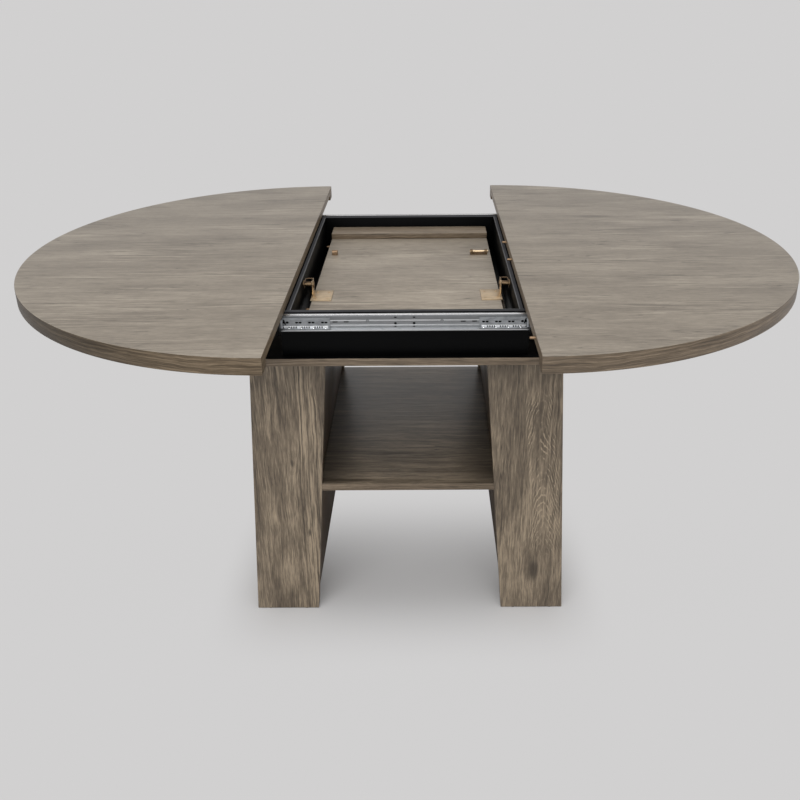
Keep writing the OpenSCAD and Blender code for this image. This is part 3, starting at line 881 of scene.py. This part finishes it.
@dataclass
class HalfTop(SubAssembly):
    """One half of the round top: its panel with a veneered face and the edge band under its rim."""

    side: Side
    radius: float = 0.59985
    reach: float = 0.226
    ease: float = 0.0012
    ease_steps: int = 3
    steps: int = 360
    band_width: float = 0.038
    pin_rows: tuple[float, ...] = (-0.502, -0.065, 0.065)
    pin_ease: float = 0.0016
    socket_radius: float = 0.00385
    socket_depth: float = 0.020

    @property
    def body(self) -> str:
        """The CAD body of this half."""
        return f"half_{self.side.word}"

    @property
    def hub(self) -> Point:
        """The centre of this half's circle."""
        return (self.side.value * self.reach, 0.0, 0.0)

    @property
    def veneer(self) -> Finish:
        """The finish of this half's edges; the left one has painted shade, darker away from the middle."""
        return self.palette.edge_left if self.side is Side.LEFT else self.palette.edge

    def round_over(self, piece: Solid, height: float) -> None:
        """Rounds the edges of a piece that lie at one height."""
        piece.round_edges(lambda middle: abs(middle.z - height) < TOUCH, self.ease, self.ease_steps)
        bpy.ops.object.shade_smooth_by_angle(angle=SMOOTH)

    def panel(self) -> None:
        """Makes the panel: grain along X on its faces, edge tape round its rim and along its cut."""
        node = f"top_{self.side.word}"
        low, high = low_high(node)
        start = (self.hub[0], 0.0, low.z)
        piece = Solid.rod(f"{node}_panel", start, 2, high.z - low.z, self.radius, count=self.steps)
        with piece.edited():
            bpy.ops.mesh.bisect(
                plane_co=self.hub, plane_no=(self.side.value, 0.0, 0.0), use_fill=True, clear_inner=True)
        self.round_over(piece, high.z)
        for row in self.pin_rows if self.side is Side.LEFT else ():
            start = (-self.reach - self.socket_depth, row, (low.z + high.z) / 2)
            piece.cut(Solid.rod("drill", start, 0, self.socket_depth + PAST, self.socket_radius))
        piece.lay(0, hub=self.hub).paint(self.palette.top, self.veneer)
        piece.hand_over(self.body, "oak_panel", node)

    def band(self) -> None:
        """Spins the edge band under the rim from its section."""
        node = f"edge_{self.side.word}"
        low, high = low_high(node)
        Solid.clear()
        centre = (self.hub[0], -self.radius + self.band_width / 2, (low.z + high.z) / 2)
        bpy.ops.mesh.primitive_plane_add(size=1.0, location=centre, rotation=(0.0, math.pi / 2, 0.0))
        bpy.context.object.scale = (high.z - low.z, self.band_width, 1.0)
        piece = Solid(f"{node}_band")
        with piece.edited():
            turn = -self.side.value * math.pi
            bpy.ops.mesh.spin(steps=self.steps // 2, angle=turn, center=self.hub, axis=(0.0, 0.0, 1.0))
            bpy.ops.mesh.select_all(action="SELECT")
            bpy.ops.mesh.remove_doubles(threshold=TOUCH)
            bpy.ops.mesh.select_all(action="DESELECT")
            bpy.ops.mesh.select_mode(type="EDGE")
            bpy.ops.mesh.select_non_manifold()
            bpy.ops.mesh.fill_holes(sides=4)
            bpy.ops.mesh.select_all(action="SELECT")
            bpy.ops.mesh.normals_make_consistent(inside=False)
        self.round_over(piece, low.z)
        piece.lay(0, hub=self.hub).paint(self.veneer).hand_over(self.body, "oak_edge", node)

    def pins(self) -> None:
        """Makes the rounded alignment pins in the cut edge."""
        low, high = low_high("pins_right")
        first, *rows = self.pin_rows
        start = (low.x, first, (low.z + high.z) / 2)
        piece = Solid.rod("pin", start, 0, high.x - low.x, (high.z - low.z) / 2, self.pin_ease)
        piece.repeat("alignment_pins", [(0.0, row - first, 0.0) for row in rows])
        # The pins are painted shade, in the darker brass.
        piece.paint(self.palette.pin_brass).hand_over(self.body, "brass", "pins_right")

    def build(self) -> None:
        """Builds this half; the sleeves in the left one keep their CAD shape."""
        self.panel()
        self.band()
        if self.side is Side.RIGHT:
            self.pins()


@dataclass
class StorageBox(SubAssembly):
    """The four black boards round the folded leaf.

    Their rims' upper faces are grey, with a painted highlight along the inner edge and a painted
    shadow along the outer one, whose two widths are those on the side boards and on the front and
    back boards.
    """

    ease: float = 0.0008
    pale_edge: float = 0.0019
    dark_edge: Pair = (0.0102, 0.0058)
    rim_normal: float = 0.3

    def board(self, node: str) -> None:
        """Makes the board of one CAD node.

        Args:
            node: The CAD node.
        """
        low, high = low_high(node)
        piece = Solid.box(f"{node}_board", low, high).ease(self.ease)
        axis = 0 if high.x - low.x < high.y - low.y else 1
        sign = 1 if low[axis] > 0 else -1
        inner, outer = (low[axis], high[axis])[::sign]
        dark_edge, across = self.dark_edge[axis], Vector((1 - axis, axis, 0.0))
        for place in (inner + sign * self.pale_edge, outer - sign * dark_edge):
            with piece.edited():
                bpy.ops.mesh.bisect(plane_co=across * place, plane_no=across)

        def choose(normal: Vector, middle: Vector) -> int:
            """Picks the finish of a face.

            Args:
                normal: The face's normal.
                middle: The face's middle.

            Returns:
                0 for black, 1 for grey, 2 for the painted highlight or 3 for the painted shadow.
            """
            if normal.z < self.rim_normal:
                return 0
            # The outer strip is painted shadow and the inner one a painted highlight, which the back board
            # lacks.
            if abs(middle[axis] - outer) < dark_edge:
                return 3
            return 2 if abs(middle[axis] - inner) < self.pale_edge and node != "box_back" else 1

        palette = self.palette
        piece.paint(palette.black, palette.rim, palette.rim_edge, palette.gap, choose=choose)
        piece.hand_over("base", "black_board", node)

    def build(self) -> None:
        """Builds the boards."""
        for word in ("front", "back", "left", "right"):
            self.board(f"box_{word}")


@dataclass
class Base(SubAssembly):
    """The base plate with its swing opening, and the shelf between the legs."""

    ease: float = 0.001
    opening_x: float = 0.212
    opening_y: Pair = (-0.273, 0.0107)
    shelf_wing: float = 0.006
    shelf_lean: float = 0.0731
    leg_board: float = 0.018

    def plate(self) -> None:
        """Makes the base plate: black faces and an oak edge all round."""
        low, high = low_high("base_plate")
        front, back = self.opening_y
        piece = Solid.box("base_plate_board", low, high)
        piece.cut(Solid.box(
            "saw", (-self.opening_x, front, low.z - PAST), (self.opening_x, back, high.z + PAST)))
        piece.ease(self.ease).lay(0, slide=0.31).paint(self.palette.black, self.palette.edge)
        piece.hand_over("base", "oak_edge", "base_plate")

    def shelf(self) -> None:
        """Makes the shelf, narrower between the front and back boards of the legs."""
        low, high = low_high("shelf")
        wing, board = Vector((self.shelf_wing, 0.0, 0.0)), Vector((0.0, self.leg_board, 0.0))
        piece = Solid.box("shelf_board", low + wing, high - wing)
        wide = Solid.box("wing", low + board, high - board)
        lean, middle = (high.z - low.z) * self.shelf_lean, (low.z + high.z) / 2
        for shape in (piece, wide):
            for sign in (-1, 1):
                shape.shift(lambda co: sign * co.x > 0 and co.z > middle, (-sign * lean, 0.0, 0.0))
        piece.cut(wide, "UNION").ease(self.ease).lay(0, slide=0.57)
        piece.paint(self.palette.shelf, self.palette.edge).hand_over("base", "oak_leg", "shelf")

    def build(self) -> None:
        """Builds the plate and the shelf."""
        self.plate()
        self.shelf()


@dataclass
class Leg(SubAssembly):
    """A hollow leg of four upright boards that leans outwards to the floor.

    The top and the foot are where the front and back boards begin and end, away from the middle.
    """

    side: Side
    top: Pair = (0.159, 0.311)
    foot: Pair = (0.205, 0.342)
    reveal: float = 0.006
    thick: float = 0.018
    ease: float = 0.0012
    notch_x: Pair = (0.14, 0.24)
    notch_y: Pair = (-0.273, 0.0107)
    notch_z: Pair = (0.5658, 0.64)

    def placed(self, span: Pair) -> list[float]:
        """Turns a span away from the middle into places along X, lowest first."""
        return sorted(self.side.value * value for value in span)

    def leaning(self, node: str, top: Pair, foot: Pair) -> Solid:
        """Makes a board with leaning sides in the room of a CAD node.

        Args:
            node: The CAD node.
            top: Its span at the top.
            foot: Its span at the foot.

        Returns:
            The board.
        """
        low, high = low_high(node)
        sign, (left, right) = self.side.value, self.placed(top)
        piece = Solid.box(f"{node}_board", (left, low.y, low.z), (right, high.y, high.z))
        middle, waist = sum(top) / 2, (low.z + high.z) / 2
        piece.shift(lambda co: co.z < waist and sign * co.x > middle, (sign * (foot[1] - top[1]), 0.0, 0.0))
        piece.shift(lambda co: co.z < waist and sign * co.x < middle, (sign * (foot[0] - top[0]), 0.0, 0.0))
        return piece

    def build(self) -> None:
        """Builds the four boards, whose sides are veneered with the grain upwards."""
        palette, left = self.palette, self.side is Side.LEFT
        more = 1.3 if left else 1.0
        spans = (self.top, self.foot)
        outer = [(span[1] - self.thick, span[1]) for span in spans]
        inner = [(span[0] + self.reveal, span[0] + self.reveal + self.thick) for span in spans]
        boards = (
            ("front", spans, 0.0, palette.leg_left if left else palette.leg_right),
            ("back", spans, 0.43, palette.leg_plain),
            ("outer", outer, 0.9 * more, palette.leg_plain),
            ("inner", inner, 1.7 * more, palette.leg_inner))
        for place, (top, foot), slide, veneer in boards:
            node = f"leg_{self.side.word}_{place}"
            piece = self.leaning(node, top, foot)
            if place == "inner":
                piece.cut(Solid.box("saw", *zip(self.placed(self.notch_x), self.notch_y, self.notch_z)))
            piece.ease(self.ease).lay(2, slide=slide).paint(veneer).hand_over("base", "oak_leg", node)


@dataclass
class FoldedLeaf(SubAssembly):
    """The leaf, folded face to face in its box, with an edge band at its outer end."""

    ease: float = 0.0009
    pin_radius: float = 0.0025
    pin_ease: float = 0.0016

    def board(self, node: str, kind: str, slide: float, veneer: Finish, slot: str) -> None:
        """Makes a panel or a band in the room of a CAD node.

        Args:
            node: The CAD node.
            kind: What the board is.
            slide: How far its grain is moved across.
            veneer: The finish of its upper and lower faces.
            slot: A slot name that is passed on to hand_over.
        """
        piece = Solid.box(f"{node}_{kind}", *low_high(node)).ease(self.ease)
        piece.lay(0, slide=slide).paint(veneer, self.palette.edge).hand_over("base", slot, node)

    def build(self) -> None:
        """Builds the two panels, their bands and the alignment pins."""
        palette = self.palette
        for word, slide in (("upper", 0.12), ("lower", 0.71)):
            self.board(f"leaf_{word}", "panel", slide, palette.leaf, "oak_panel")
            self.board(f"leaf_edge_{word}", "band", slide + 0.2, palette.band, "oak_edge")
        low, high = low_high("leaf_pins")
        start = low + Vector((0.0, self.pin_radius, self.pin_radius))
        pins = Solid.rod("pin", start, 0, high.x - low.x, self.pin_radius, self.pin_ease)
        _, run, rise = high - low - 2 * Vector((0.0, self.pin_radius, self.pin_radius))
        pins.repeat("leaf_alignment_pins", ((0.0, 0.0, rise), (0.0, run, rise)))
        # The pins are painted shade, in the darker brass.
        pins.paint(palette.pin_brass).hand_over("base", "brass", "leaf_pins")


@dataclass
class Screw:
    """A screw head with a cross recess, whose shares are of the radius and of the height."""

    radius: float
    height: float
    ease_share: float = 0.45
    recess_long: float = 0.6
    recess_wide: float = 0.13
    recess_deep: float = 0.6

    def heads(self, name: str, places: Sequence[Vector], axis: int, sign: int) -> Solid:
        """Makes like heads on a surface.

        Args:
            name: The name of all of them together.
            places: The middles of the heads on the surface.
            axis: The surface's normal axis.
            sign: Which way the heads face along it.

        Returns:
            The heads.
        """
        first, *rest = places
        face = first[axis] + sign * self.height
        start = first.copy()
        start[axis] = min(first[axis], face)
        piece = Solid.rod("head", start, axis, self.height, self.radius, self.height * self.ease_share)
        others = [other for other in range(3) if other != axis]
        for long, wide in (others, others[::-1]):
            reach = Vector()
            reach[long], reach[wide] = self.radius * self.recess_long, self.radius * self.recess_wide
            low, high = first - reach, first + reach
            low[axis], high[axis] = sorted(
                (face - sign * self.height * self.recess_deep, face + sign * self.height))
            piece.cut(Solid.box("bit", low, high))
        return piece.repeat(name, [place - first for place in rest])


@dataclass
class SwingBracket(SubAssembly):
    """The brass bracket of the leaf: a plate, a rising strap and an open loop."""

    side: Side
    plate_x: float = 0.155
    plate_y: Pair = (-0.187, -0.125)
    strap_x: Pair = (0.196, 0.198)
    strap_y: Pair = (-0.151, -0.125)
    loop_x: float = 0.213
    loop_height: float = 0.0015
    loop_wall: float = 0.0012
    loop_corner: float = 0.005
    loop_ease: float = 0.0003
    window_corner: float = 0.0032
    corner_steps: int = 5
    thick: float = 0.002
    ease: float = 0.0005
    screw_x: Pair = (0.187, 0.163)
    screw_y: Pair = (-0.1374, -0.1746)
    screw_radius: float = 0.0026
    screw_height: float = 0.0005

    def build(self) -> None:
        """Builds the bracket and its screws."""
        node = f"swing_bracket_{self.side.word}"
        low, high = low_high(node)
        floor, wall = low.z + self.thick, self.loop_wall
        (inner, outer), (front, back) = self.strap_x, self.strap_y
        plate = Solid.box("plate", (self.plate_x, self.plate_y[0], low.z), (outer, self.plate_y[1], floor))
        strap = Solid.box("strap", (inner, front, low.z), (outer, back, high.z)).ease(self.ease)
        loop = Solid.box("loop", (inner, front, high.z - self.loop_height), (self.loop_x, back, high.z))
        window = Solid.box(
            "window", (outer, front + wall, high.z - PAST), (self.loop_x - wall, back - wall, high.z + PAST))
        loop_middle = high.z - self.loop_height / 2
        for shape, height, width in (
                (loop, loop_middle, self.loop_corner), (window, high.z, self.window_corner)):
            shape.round_edges(lambda edge: abs(edge.z - height) < 10 * TOUCH, width, self.corner_steps)
        loop.cut(window).ease(self.loop_ease)
        piece = plate.ease(self.ease).join(f"{node}_strap", strap, loop).mirror(0, self.side is Side.LEFT)
        # The loop on top is painted shade, in the darker brass.
        ring_z, ring_x = high.z - self.loop_height - self.ease, outer + self.ease
        piece.paint(
            self.palette.brass, self.palette.pin_brass,
            choose=lambda normal, middle: int(middle.z > ring_z and abs(middle.x) > ring_x))
        piece.hand_over("base", "brass", node)
        places = [Vector((self.side.value * x, y, floor)) for x in self.screw_x for y in self.screw_y]
        heads = Screw(self.screw_radius, self.screw_height).heads(f"{node}_screws", places, 2, 1)
        heads.paint(self.palette.brass).hand_over("base", "brass")


@dataclass
class BarrelBolt(SubAssembly):
    """A barrel bolt's guide with two rounded eyes, its sliding bolt, and the strike across the seam.

    It stands up from its panel where upward is 1, and hangs down from it where upward is -1.
    """

    prefix: str
    guide_body: str
    bolt_body: str
    strike_body: str
    upward: int
    plate: float = 0.002
    plate_ease: float = 0.0004
    eye: float = 0.006
    eye_inset: float = 0.002
    crown: float = 0.0045
    crown_steps: int = 6
    crown_ease: float = 0.0003
    rod_radius: float = 0.003
    rod_ease: float = 0.0009
    knob_at: float = 0.0073
    knob_length: float = 0.0054
    knob_ease: float = 0.001
    hole_radius: float = 0.0033
    hole_length: float = 0.04

    def saddle(self, name: str, x: Pair, y: Pair, rise: Pair) -> Solid:
        """Makes an eye or strike: a block with a rounded crown round the bolt.

        Args:
            name: The piece's name.
            x: Its ends along X.
            y: Its ends along Y.
            rise: The heights of its foot and of its crown.

        Returns:
            The block.
        """
        bottom, top = sorted(rise)
        block = Solid.box(name, (x[0], y[0], bottom), (x[1], y[1], top))
        block.round_edges(
            lambda middle: abs(middle.z - rise[1]) < TOUCH and min(middle.y - y[0], y[1] - middle.y) < TOUCH,
            self.crown, self.crown_steps)
        return block.ease(self.crown_ease, 1)

    def build(self) -> None:
        """Builds guide, bolt and strike."""
        node = f"{self.prefix}_bolt_guide"
        low, high = low_high(node)
        foot, crown = (low.z, high.z)[::self.upward]
        seat = foot + self.upward * self.plate
        bottom, top = sorted((foot, seat))
        guide = Solid.box("plate", (low.x, low.y, bottom), (high.x, high.y, top)).ease(self.plate_ease)
        y = (low.y + self.eye_inset, high.y - self.eye_inset)
        eyes = [self.saddle("eye", (x, x + self.eye), y, (seat, crown)) for x in (low.x, high.x - self.eye)]
        # The guide's plate and eyes are painted shadow under the rod.
        guide.join(f"{self.prefix}_bolt_barrel", *eyes).paint(self.palette.bronze)
        guide.hand_over(self.guide_body, "brass", node)
        node = f"{self.prefix}_bolt"
        low, high = low_high(node)
        start = Vector((low.x, (low.y + high.y) / 2, (low.z + high.z) / 2))
        bolt = Solid.rod("rod", start, 0, high.x - low.x, self.rod_radius, self.rod_ease)
        start.x += self.knob_at
        knob = Solid.rod("knob", start, 0, self.knob_length, (high.z - low.z) / 2, self.knob_ease)
        bolt.join(f"{self.prefix}_sliding_bolt", knob).paint(self.palette.brass)
        bolt.hand_over(self.bolt_body, "brass", node)
        node = f"{self.prefix}_strike"
        low, high = low_high(node)
        strike = self.saddle(
            f"{node}_block", (low.x, high.x), (low.y, high.y), (low.z, high.z)[::self.upward])
        start.x = low.x - PAST
        strike.cut(Solid.rod("drill", start, 0, self.hole_length, self.hole_radius))
        # The strike is painted shade, in the darker brass.
        strike.paint(self.palette.pin_brass).hand_over(self.strike_body, "brass", node)


@dataclass
class BallSlide(SubAssembly):
    """One two-way ball slide: ribbed channel, two ball cages and their balls.

    Rows are heights over its middle line. A hole or window is (row, radius, length over its
    height). A cage's windows stand in pairs, each pair over a run of teeth, which are dark bars of
    painted shade.
    """

    end: End
    board_y: float = 0.351
    half: float = 0.016
    depth: float = 0.0127
    sheet: float = 0.0015
    hole_columns: tuple[float, ...] = (-0.0175, 0.0175)
    holes: tuple[Point, ...] = (
        (0.0086, 0.0022, 0.0010), (-0.0042, 0.0022, 0.0010), (-0.0104, 0.0014, 0.0010))
    slot_columns: tuple[float, ...] = (-0.131, -0.110, 0.110, 0.131)
    slots: tuple[Point, ...] = ((-0.0006, 0.0013, 0.007),)
    screw_columns: tuple[float, ...] = (-0.210, -0.070, 0.070, 0.210)
    screw_radius: float = 0.004
    screw_height: float = 0.0011
    rib_rows: Pair = (0.0021, -0.0076)
    cage_x: Pair = (0.140, 0.295)
    race_x: Pair = (0.144, 0.293)
    cage_at: float = 0.0032
    cage_sheet: float = 0.0008
    proud: float = 0.00095
    window: Point = (-0.0004, 0.0023, 0.0012)
    window_start: float = 0.0110
    window_pitch: float = 0.0243
    window_apart: float = 0.0033
    windows: int = 5
    teeth_row: float = -0.0098
    teeth_start: float = 0.0032
    tooth_pitch: float = 0.0044
    tooth_width: float = 0.0024
    teeth: int = 4
    stop_x: Pair = (0.2228, 0.2254)
    stop_rows: Pair = (-0.0050, 0.0052)
    stop_lean: float = 0.0030
    fold_end: float = 0.215
    ball: float = 0.0025
    ball_y: float = 0.00695
    ball_z: float = 0.0117
    ball_margin: float = 0.008
    ball_segments: int = 16
    ball_rings: int = 10
    balls: int = 7

    @property
    def middle(self) -> float:
        """Height of the slide's middle line."""
        low, high = low_high(f"slide_channel_{self.end.word}")
        return (low.z + high.z) / 2

    def spot(self, x: float, out: float, up: float) -> Vector:
        """A place on the slide: along X, outwards from the board, and up from the middle."""
        return Vector((x, -self.board_y - out, self.middle + up))

    def bar(self, name: str, x: Pair, out: Pair, up: Pair, ease: float = 0.0, steps: int = 2) -> Solid:
        """Adds an eased bar between two places along X, outwards and up."""
        low, high = self.spot(x[0], out[1], up[0]), self.spot(x[1], out[0], up[1])
        return Solid.box(name, low, high).ease(ease, steps)

    def drill(self, web: Solid, x: float, hole: Point) -> None:
        """Cuts a round hole, drawn out along X, through a web.

        Args:
            web: The web.
            x: Middle of the hole along X.
            hole: Its row, radius and length over its height.
        """
        row, radius, length = hole
        tool = Solid.rod("drill", self.spot(x, 2 * PAST, row), 1, 3 * PAST, radius, count=20)
        tool.shift(lambda co: co.x > x, (length / 2, 0.0, 0.0))
        tool.shift(lambda co: co.x < x, (-length / 2, 0.0, 0.0))
        web.cut(tool)

    def channel(self) -> None:
        """Makes the fixed channel: web with two ribs and fixing holes, flanges with lips, in lit and shaded
        copies of its zinc.
        """
        node, palette = f"slide_channel_{self.end.word}", self.palette
        low, high = low_high(node)
        x, half, sheet, depth = (low.x, high.x), self.half, self.sheet, self.depth
        web = self.bar("web", x, (0.0, sheet), about(0.0, half))
        for columns, holes in ((self.hole_columns, self.holes), (self.slot_columns, self.slots)):
            for column in columns:
                for hole in holes:
                    self.drill(web, column, hole)
        (start, end), row = self.race_x, self.window[0]
        # Painted shade: dark strips on the web behind the cage windows.
        track = ((sheet - 0.0002, sheet + 0.0013), about(row, 0.0034), 0.0002, 1)
        rib = (sheet - 0.0002, sheet + 0.0010)
        # Painted highlight on the crest, ribs, lower flange and lower lip; painted shade on the nose and
        # upper lip; painted shadow along the hem.
        groups = (
            (palette.gap, *(("track", span, *track) for span in ((-end, -start), (start, end)))),
            (palette.bright, ("crest", x, (0.0003, depth - 0.0046), (half - sheet, half), 0.0004)),
            (palette.brow, ("nose", x, (depth - 0.0047, depth), (half - sheet, half - 0.0002), 0.0006),
             ("lip", x, (depth - 0.001, depth - 0.0001), (half - 0.0027, half - 0.0010), 0.0004)),
            (palette.grease, ("hem", x, (depth - 0.0012, depth), (-half, -half + 0.0014), 0.0004)),
            (palette.rib, *(("rib", x, rib, about(up, 0.0014), 0.0008) for up in self.rib_rows),
             ("flange", x, (0.0003, depth - 0.0011), (-half + 0.0003, -half + sheet), 0.0003, 1),
             ("lip", x, (depth - 0.001, depth), (-half + 0.0013, -half + 0.0036), 0.0004)))
        shapes = [self.bar(*bar).paint(finish) for finish, *bars in groups for bar in bars]
        piece = web.ease(0.0003, 1).paint(palette.web).join(f"{node}_profile", *shapes)
        piece.mirror(1, self.end is End.BACK).hand_over("base", "zinc", node)

    def cage(self, side: Side) -> None:
        """Makes one ball cage with its windows, folded lips and balls.

        Args:
            side: The half top that it serves.
        """
        node, palette = f"ball_cage_{side.word}_{self.end.word}", self.palette
        (start, end), back, rise, half = self.cage_x, self.cage_at, self.ball_z, self.cage_sheet / 2
        plate = self.bar("cage", self.cage_x, (back, back + 2 * half), about(0.0, rise + half))
        middles = [start + self.window_start + self.window_pitch * index for index in range(self.windows)]
        for middle in middles:
            for place in about(middle, self.window_apart):
                self.drill(plate, place, self.window)
        front, row = back + self.proud, self.teeth_row
        out = (back + half, front)
        race = self.bar(f"{node}_race", self.race_x, out, about(row, 0.0022), 0.0001, 1)
        # The teeth and the stop are dark bars of painted shade, standing for shaded slots in the race.
        steps = [self.teeth_start + self.tooth_pitch * step for step in range(self.teeth)]
        first, *rest = (middle + step for middle in middles for step in steps)
        out = (back, front + 0.00006)
        teeth = self.bar("tooth", (first, first + self.tooth_width), out, (row - 0.0018, row + 0.0012))
        teeth.repeat("teeth", [(place - first, 0.0, 0.0) for place in rest])
        stop = self.bar("stop", self.stop_x, out, self.stop_rows)
        stop.shift(lambda co: co.z > self.middle, (self.stop_lean, 0.0, 0.0))
        teeth.join(f"{node}_gaps", stop)
        span, out = (start, self.fold_end), (back + half, back + 0.0016)
        fold = self.bar("fold", span, out, about(self.rib_rows[0], 0.0011), 0.0005)
        out = (back + half, self.depth - 0.0022)
        lips = [self.bar("lip", self.cage_x, out, about(up, half), 0.00025, 1) for up in (-rise, rise)]
        plate.ease(0.0002, 1).join(f"{node}_plate", fold, *lips)
        Solid.clear()
        bpy.ops.mesh.primitive_uv_sphere_add(
            segments=self.ball_segments, ring_count=self.ball_rings, radius=self.ball,
            location=self.spot(start + self.ball_margin, self.ball_y, -rise))
        beads = Solid("bead")
        bpy.ops.object.shade_smooth()
        pitch = (end - start - 2 * self.ball_margin) / (self.balls - 1)
        places = [(pitch * index, 0.0, up) for index in range(self.balls) for up in (0.0, 2 * rise)]
        beads.repeat(f"{node}_balls", places[1:])
        for piece, finish, *nodes in (
                (plate, palette.cage, node), (beads, palette.ball), (race, palette.race),
                (teeth, palette.gap)):
            piece.mirror(1, self.end is End.BACK).mirror(0, side is Side.LEFT).paint(finish)
            piece.hand_over(f"cages_{side.word}", "zinc", *nodes)

    def screws(self) -> None:
        """Makes the pan heads that hold the channel to its board."""
        node = f"channel_screws_{self.end.word}"
        places = [self.spot(x, self.sheet, 0.0) for x in self.screw_columns]
        heads = Screw(self.screw_radius, self.screw_height).heads(f"{node}_heads", places, 1, -1)
        heads.mirror(1, self.end is End.BACK).paint(self.palette.web).hand_over("base", "screw_steel", node)

    def build(self) -> None:
        """Builds the slide."""
        self.channel()
        for side in Side:
            self.cage(side)
        self.screws()


@dataclass
class CarriedNodes(SubAssembly):
    """The CAD nodes whose shape is right, which only get their finishes."""

    def build(self) -> None:
        """Gives each kept node its finish."""
        palette = self.palette
        finishes = {
            "top_rail": palette.black, "leg_blocks": palette.block, "runner": palette.zinc,
            "rail_screws": palette.screw, "shelf_screws": palette.screw, "floor_glides": palette.nylon,
            # The sockets are painted shade, in the darker brass.
            "leaf_hinges": palette.brass, "sockets_left": palette.pin_brass,
            # The swing pivot is painted shadow, in the darkest brass.
            "leaf_sockets": palette.pin_brass, "swing_pivot": palette.bronze}
        for name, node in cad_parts.items():
            for prefix, finish in finishes.items():
                if name.startswith(prefix):
                    for slot in node.material_slots:
                        slot.material = finish
                    log.info("%s keeps its CAD shape", name)


@dataclass
class Studio:
    """The pale floor, the soft plain light and the photograph's camera.

    A sun is (name, strength, turn and width in degrees). The near lamp is a square one that
    faces a place on the table. The shades are where the floor starts to take shadows.
    """

    place: Point = (0.0367, -1.8978, 1.3320)
    turn: Point = (1.160227, 0.007878, 0.002981)
    lens: float = 39.866
    sensor: float = 36.0
    shift: Pair = (-0.0241, -0.0625)
    suns: tuple[tuple[str, float, Point, float], ...] = (
        ("overhead", 0.85, (10.0, 6.0, 0.0), 70.0), ("front", 0.95, (50.0, 0.0, -10.0), 60.0))
    near_power: float = 9.0
    near_place: Point = (-0.7, -2.0, 1.9)
    near_aim: Point = (-0.3, -0.3, 0.7)
    near_width: float = 1.6
    backdrop: Colour = (0.638, 0.631, 0.631)
    ambient: float = 0.52
    floor_size: float = 60.0
    floor_z: float = -0.0002
    shade_side: Pair = (0.28, 0.46)
    shade_back: Pair = (-0.30, 0.20)
    shade_front: Pair = (-0.50, -0.22)
    shade_least: float = 0.03

    def stand(self, data: bpy.types.ID, place: Sequence[float], turn: Sequence[float]) -> bpy.types.Object:
        """Puts a camera or a lamp in the scene.

        Args:
            data: The camera or lamp.
            place: Where it stands.
            turn: Its rotation in radians.

        Returns:
            Its object.
        """
        stood = bpy.data.objects.new(data.name, data)
        stood.location, stood.rotation_euler = place, turn
        bpy.context.scene.collection.objects.link(stood)
        return stood

    def camera(self) -> None:
        """Sets the camera."""
        data = bpy.data.cameras.new("camera")
        data.lens, data.sensor_width, data.sensor_fit = self.lens, self.sensor, "AUTO"
        data.shift_x, data.shift_y = self.shift
        bpy.context.scene.camera = self.stand(data, self.place, self.turn)

    def lamps(self) -> None:
        """Adds the wide suns and the near lamp."""
        for name, strength, turn, width in self.suns:
            data = bpy.data.lights.new(name, "SUN")
            data.energy, data.angle = strength, math.radians(width)
            self.stand(data, (0.0, 0.0, 0.0), [math.radians(value) for value in turn])
        data = bpy.data.lights.new("near", "AREA")
        data.energy, data.size = self.near_power, self.near_width
        aim = Vector(self.near_aim) - Vector(self.near_place)
        self.stand(data, self.near_place, aim.to_track_quat("-Z", "Y").to_euler())

    def world(self) -> None:
        """Makes the world: plain light, and the backdrop's colour for the camera and for gloss."""
        world = bpy.context.scene.world = bpy.data.worlds.new("studio")
        g = Graph(world)
        g.shade({"Color": (1.0, 1.0, 1.0), "Strength": self.ambient})
        seen = g.ray("Is Camera Ray")
        for kind in ("Is Glossy Ray", "Is Transmission Ray"):
            seen = g.math("MAXIMUM", seen, g.ray(kind))
        g.show(seen, g.own, g.add("Background", {"Color": self.backdrop}))

    def floor(self) -> None:
        """Makes the floor, whose colour matches the backdrop where no shadow falls."""
        Solid.clear()
        bpy.ops.mesh.primitive_plane_add(size=self.floor_size, location=(0.0, 0.0, self.floor_z))
        floor = Solid("floor").object
        g = Graph(bpy.data.materials.new("studio_floor"))
        g.shade({"Base Color": self.backdrop, "Roughness": 1.0, "Specular IOR Level": 0.0})
        x, y, _ = g.spot()
        shaded = g.step(abs(x), *self.shade_side, 1.0, self.shade_least)
        shaded = shaded * g.step(y, *self.shade_back, 1.0, self.shade_least)
        shaded = shaded * g.step(y, *self.shade_front, self.shade_least, 1.0)
        plain = g.math("SUBTRACT", 1.0, g.ray("Is Camera Ray"))
        g.show(g.math("MAXIMUM", shaded, plain), g.add("Emission", {"Color": self.backdrop}), g.own)
        floor.data.materials.append(g.owner)

    def build(self) -> None:
        """Builds the studio."""
        bpy.context.scene.view_settings.view_transform = "Standard"
        self.camera()
        self.world()
        self.lamps()
        self.floor()


def main() -> None:
    """Builds the table and its studio."""
    logging.basicConfig(level=logging.INFO, format="%(name)s %(message)s")
    Studio().build()
    palette = Palette()
    for side in Side:
        HalfTop(palette, side).build()
    StorageBox(palette).build()
    Base(palette).build()
    for side in Side:
        Leg(palette, side).build()
    FoldedLeaf(palette).build()
    for side in Side:
        SwingBracket(palette, side).build()
    BarrelBolt(palette, "leaf", "base", "leaf_bolt", "base", 1).build()
    BarrelBolt(palette, "top", "half_left", "top_bolt", "half_right", -1).build()
    for end in End:
        BallSlide(palette, end).build()
    CarriedNodes(palette).build()


if __name__ == "__main__":
    main()
